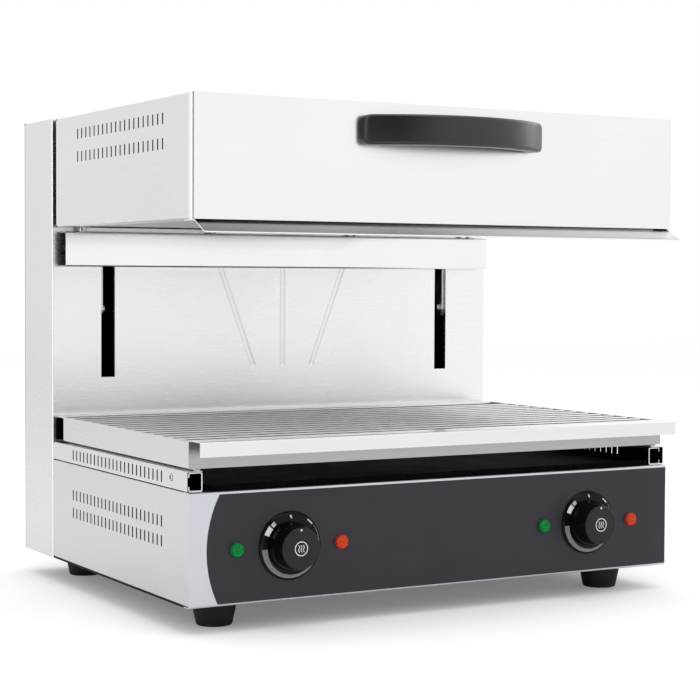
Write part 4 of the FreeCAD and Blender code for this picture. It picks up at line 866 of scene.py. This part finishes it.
def bowDepth(x, half, atEnd, atMiddle):
    # A circular bow: atMiddle - radius + sqrt(radius^2 - x^2), which is atEnd where x is half.
    rise = atMiddle - atEnd
    radius = (half ** 2 + rise ** 2) / (2 * rise)
    return atMiddle - radius + np.sqrt(radius ** 2 - x ** 2)


def makeHandle():
    # Upright sections along x, each a box from the front bow back to the finger gap or the hood,
    # with quarter circles at its corners; both ends draw in by sqrt(corner^2 - past^2).
    half, gap, corner, edge = bow["half"], bow["gapHalf"], bow["corner"], bow["edge"]
    overGap = np.linspace(0, gap, 30)
    ends = np.linspace(gap, half - corner, 8)[:-1]
    tip = half - corner + corner * np.sin(np.linspace(0, math.pi / 2, 9))
    x = np.concatenate([overGap, ends, tip])
    isFoot = np.arange(len(x)) >= len(overGap)
    x, isFoot = np.concatenate([-x[:0:-1], x]), np.concatenate([isFoot[:0:-1], isFoot])
    size = np.abs(x)
    past = np.clip(size - (half - edge), 0, edge)
    front = bowDepth(x, half, bow["endDepth"], bow["depth"]) - edge + np.sqrt(edge ** 2 - past ** 2)
    inner = bowDepth(np.minimum(size, gap), gap, bow["gapEnd"], bow["gapDepth"])
    back = np.where(isFoot, bow["back"], inner)
    past = np.clip(size - (half - corner), 0, corner)
    middle = (bow["low"] + bow["high"]) / 2
    tall = (bow["high"] - bow["low"]) / 2 - corner + np.sqrt(corner ** 2 - past ** 2)
    depths, heights = [], []
    quarter = np.linspace(0, math.pi / 2, 7)
    for outward, upward in ((1, 1), (1, -1), (-1, -1), (-1, 1)):
        turn = quarter if outward * upward > 0 else quarter[::-1]
        radius = edge if outward > 0 else bow["rearEdge"]
        plane = front if outward > 0 else back
        depths.append(plane[:, None] - outward * radius * (1 - np.sin(turn)))
        heights.append(upward * (tall[:, None] - radius * (1 - np.cos(turn))))
    depths, heights = np.concatenate(depths, axis=1), np.concatenate(heights, axis=1)
    points = np.stack([np.broadcast_to(x[:, None], depths.shape), frontY - depths,
                       middle + heights], axis=-1)
    caps = np.broadcast_to(points[[0, -1]].mean(axis=1, keepdims=True), (2,) + points.shape[1:])
    points = np.concatenate([caps[:1], points, caps[1:]])
    addPiece("bowHandle", [(points, gridFaces(len(points), depths.shape[1], wrapColumns=True))],
             plastics["handleBlack"], "hood", ["handle"],
             weld=meshing["fineWeld"])


makeHandle()
print("handle made")


# Stage, light and camera

studio = {
    "floorSize": 12.0,
    "floorTone": 0.85,
    "floorSpread": 0.01,
    "floorGrain": 40.0,
    "floorGlow": 0.17,       # only the camera sees it
    "room": {                # brightness in reflections, by degrees from the front to the right
        -180: 0.96, -128: 0.93, -112: 2.0, -90: 2.0, -74: 0.8, -58: 0.2, -24: 0.15,
        6: 0.94, 20: 1.0, 60: 1.0, 90: 1.25, 130: 1.05, 180: 0.96},
    "plainLevel": 0.95,      # what matt surfaces receive from all round
    "backdrop": 1.0,         # what the camera sees behind the object
    "aim": (0.0, 0.0, 0.25),
    "softboxes": {           # place, size and power; each is turned to the aim
        "rightSoftbox": ((2.7, 0.3, 1.2), 1.6, 13.0),
        "topSoftbox": ((-0.2, -0.6, 2.8), 2.0, 18.0),
        "leftSoftbox": ((-2.7, 0.9, 1.4), 1.4, 6.0),
    },
}


def makeFloor():
    half = studio["floorSize"] / 2
    mesh = bpy.data.meshes.new("floor")
    mesh.from_pydata([(-half, -half, 0), (half, -half, 0), (half, half, 0), (-half, half, 0)], [],
                     [(0, 1, 2, 3)])
    floor = bpy.data.objects.new("floor", mesh)
    bpy.context.scene.collection.objects.link(floor)
    material, tree, surface = newMaterial("floorPaper")
    paper = noiseOf(tree, put(tree, "TexCoord")["Object"], studio["floorGrain"], 3.0)
    base = mixed(tree, shareOf(tree, paper, *noiseRange), grey(studio["floorTone"]),
                 grey(studio["floorTone"] + studio["floorSpread"]))
    glow = times(tree, put(tree, "LightPath")["Is Camera Ray"], studio["floorGlow"])
    setSockets(tree, surface, {"Base Color": base, "Roughness": 0.9, "Specular IOR Level": 0.0,
                               "Emission Color": grey(1.0), "Emission Strength": glow})
    mesh.materials.append(material)


def makeWorld():
    # The room: white behind and to the right, a bright window at the left, dark to the front left.
    world = bpy.data.worlds.new("room")
    bpy.context.scene.world = world
    world.use_nodes = True
    tree = world.node_tree
    toward = put(tree, "SeparateXYZ", {0: put(tree, "TexCoord")["Generated"]})
    turn = maths(tree, "ARCTAN2", toward["X"], times(tree, toward["Y"], -1.0))
    ramp = tree.nodes.new("ShaderNodeValToRGB")
    ramp.color_ramp.interpolation = "EASE"
    setSockets(tree, ramp, {"Fac": shareOf(tree, turn, -math.pi, math.pi)})
    brightest = max(studio["room"].values())
    marks = ramp.color_ramp.elements
    places = list(studio["room"].items())
    for index, (angle, level) in enumerate(places):
        inner = 0 < index < len(places) - 1
        mark = marks.new((angle + 180) / 360) if inner else marks[-1 if index else 0]
        mark.color = grey(level / brightest)
    room = times(tree, ramp.outputs["Color"], brightest)
    path = put(tree, "LightPath")
    seen = maths(tree, "MAXIMUM", path["Is Glossy Ray"], path["Is Transmission Ray"])
    strength = put(tree, "Mix", {0: seen, 2: studio["plainLevel"], 3: room})[0]
    strength = put(tree, "Mix", {0: path["Is Camera Ray"], 2: strength, 3: studio["backdrop"]})[0]
    setSockets(tree, tree.nodes["Background"], {"Color": grey(1.0), "Strength": strength})


def makeSoftboxes():
    for name, (place, size, power) in studio["softboxes"].items():
        light = bpy.data.lights.new(name, "AREA")
        light.shape, light.size, light.size_y, light.energy = "RECTANGLE", size, size, power
        box = bpy.data.objects.new(name, light)
        bpy.context.scene.collection.objects.link(box)
        box.location = place
        toward = Vector(studio["aim"]) - Vector(place)
        box.rotation_euler = toward.to_track_quat("-Z", "Y").to_euler()


view = {"place": (-1.04312, frontY - 1.62205, 0.35704), "turn": 29.695, "tilt": -2.310,
        "roll": -0.263, "focalPixels": 1812.253, "framePixels": 700, "sensor": 36.0,
        "clip": (0.05, 60.0)}


def makeCamera():
    # Turn, tilt and roll are the photograph's, solved from the edges of base, hood and column.
    turn, tilt, roll = (math.radians(view[key]) for key in ("turn", "tilt", "roll"))
    forward = Vector((math.sin(turn) * math.cos(tilt), math.cos(turn) * math.cos(tilt),
                      math.sin(tilt)))
    right = Vector((math.cos(turn), -math.sin(turn), 0.0))
    down = forward.cross(right)
    across = right * math.cos(roll) + down * math.sin(roll)
    lower = down * math.cos(roll) - right * math.sin(roll)
    data = bpy.data.cameras.new("camera")
    data.sensor_width = view["sensor"]
    data.lens = view["sensor"] * view["focalPixels"] / view["framePixels"]
    data.clip_start, data.clip_end = view["clip"]
    camera = bpy.data.objects.new("camera", data)
    bpy.context.scene.collection.objects.link(camera)
    basis = Matrix((across, -lower, -forward)).transposed().to_4x4()
    basis.translation = Vector(view["place"])
    camera.matrix_world = basis
    bpy.context.scene.camera = camera


makeFloor()
makeWorld()
makeSoftboxes()
makeCamera()
bpy.context.scene.view_settings.view_transform = "Standard"
print("stage, lamps and camera ready")

bpy.context.view_layer.update()
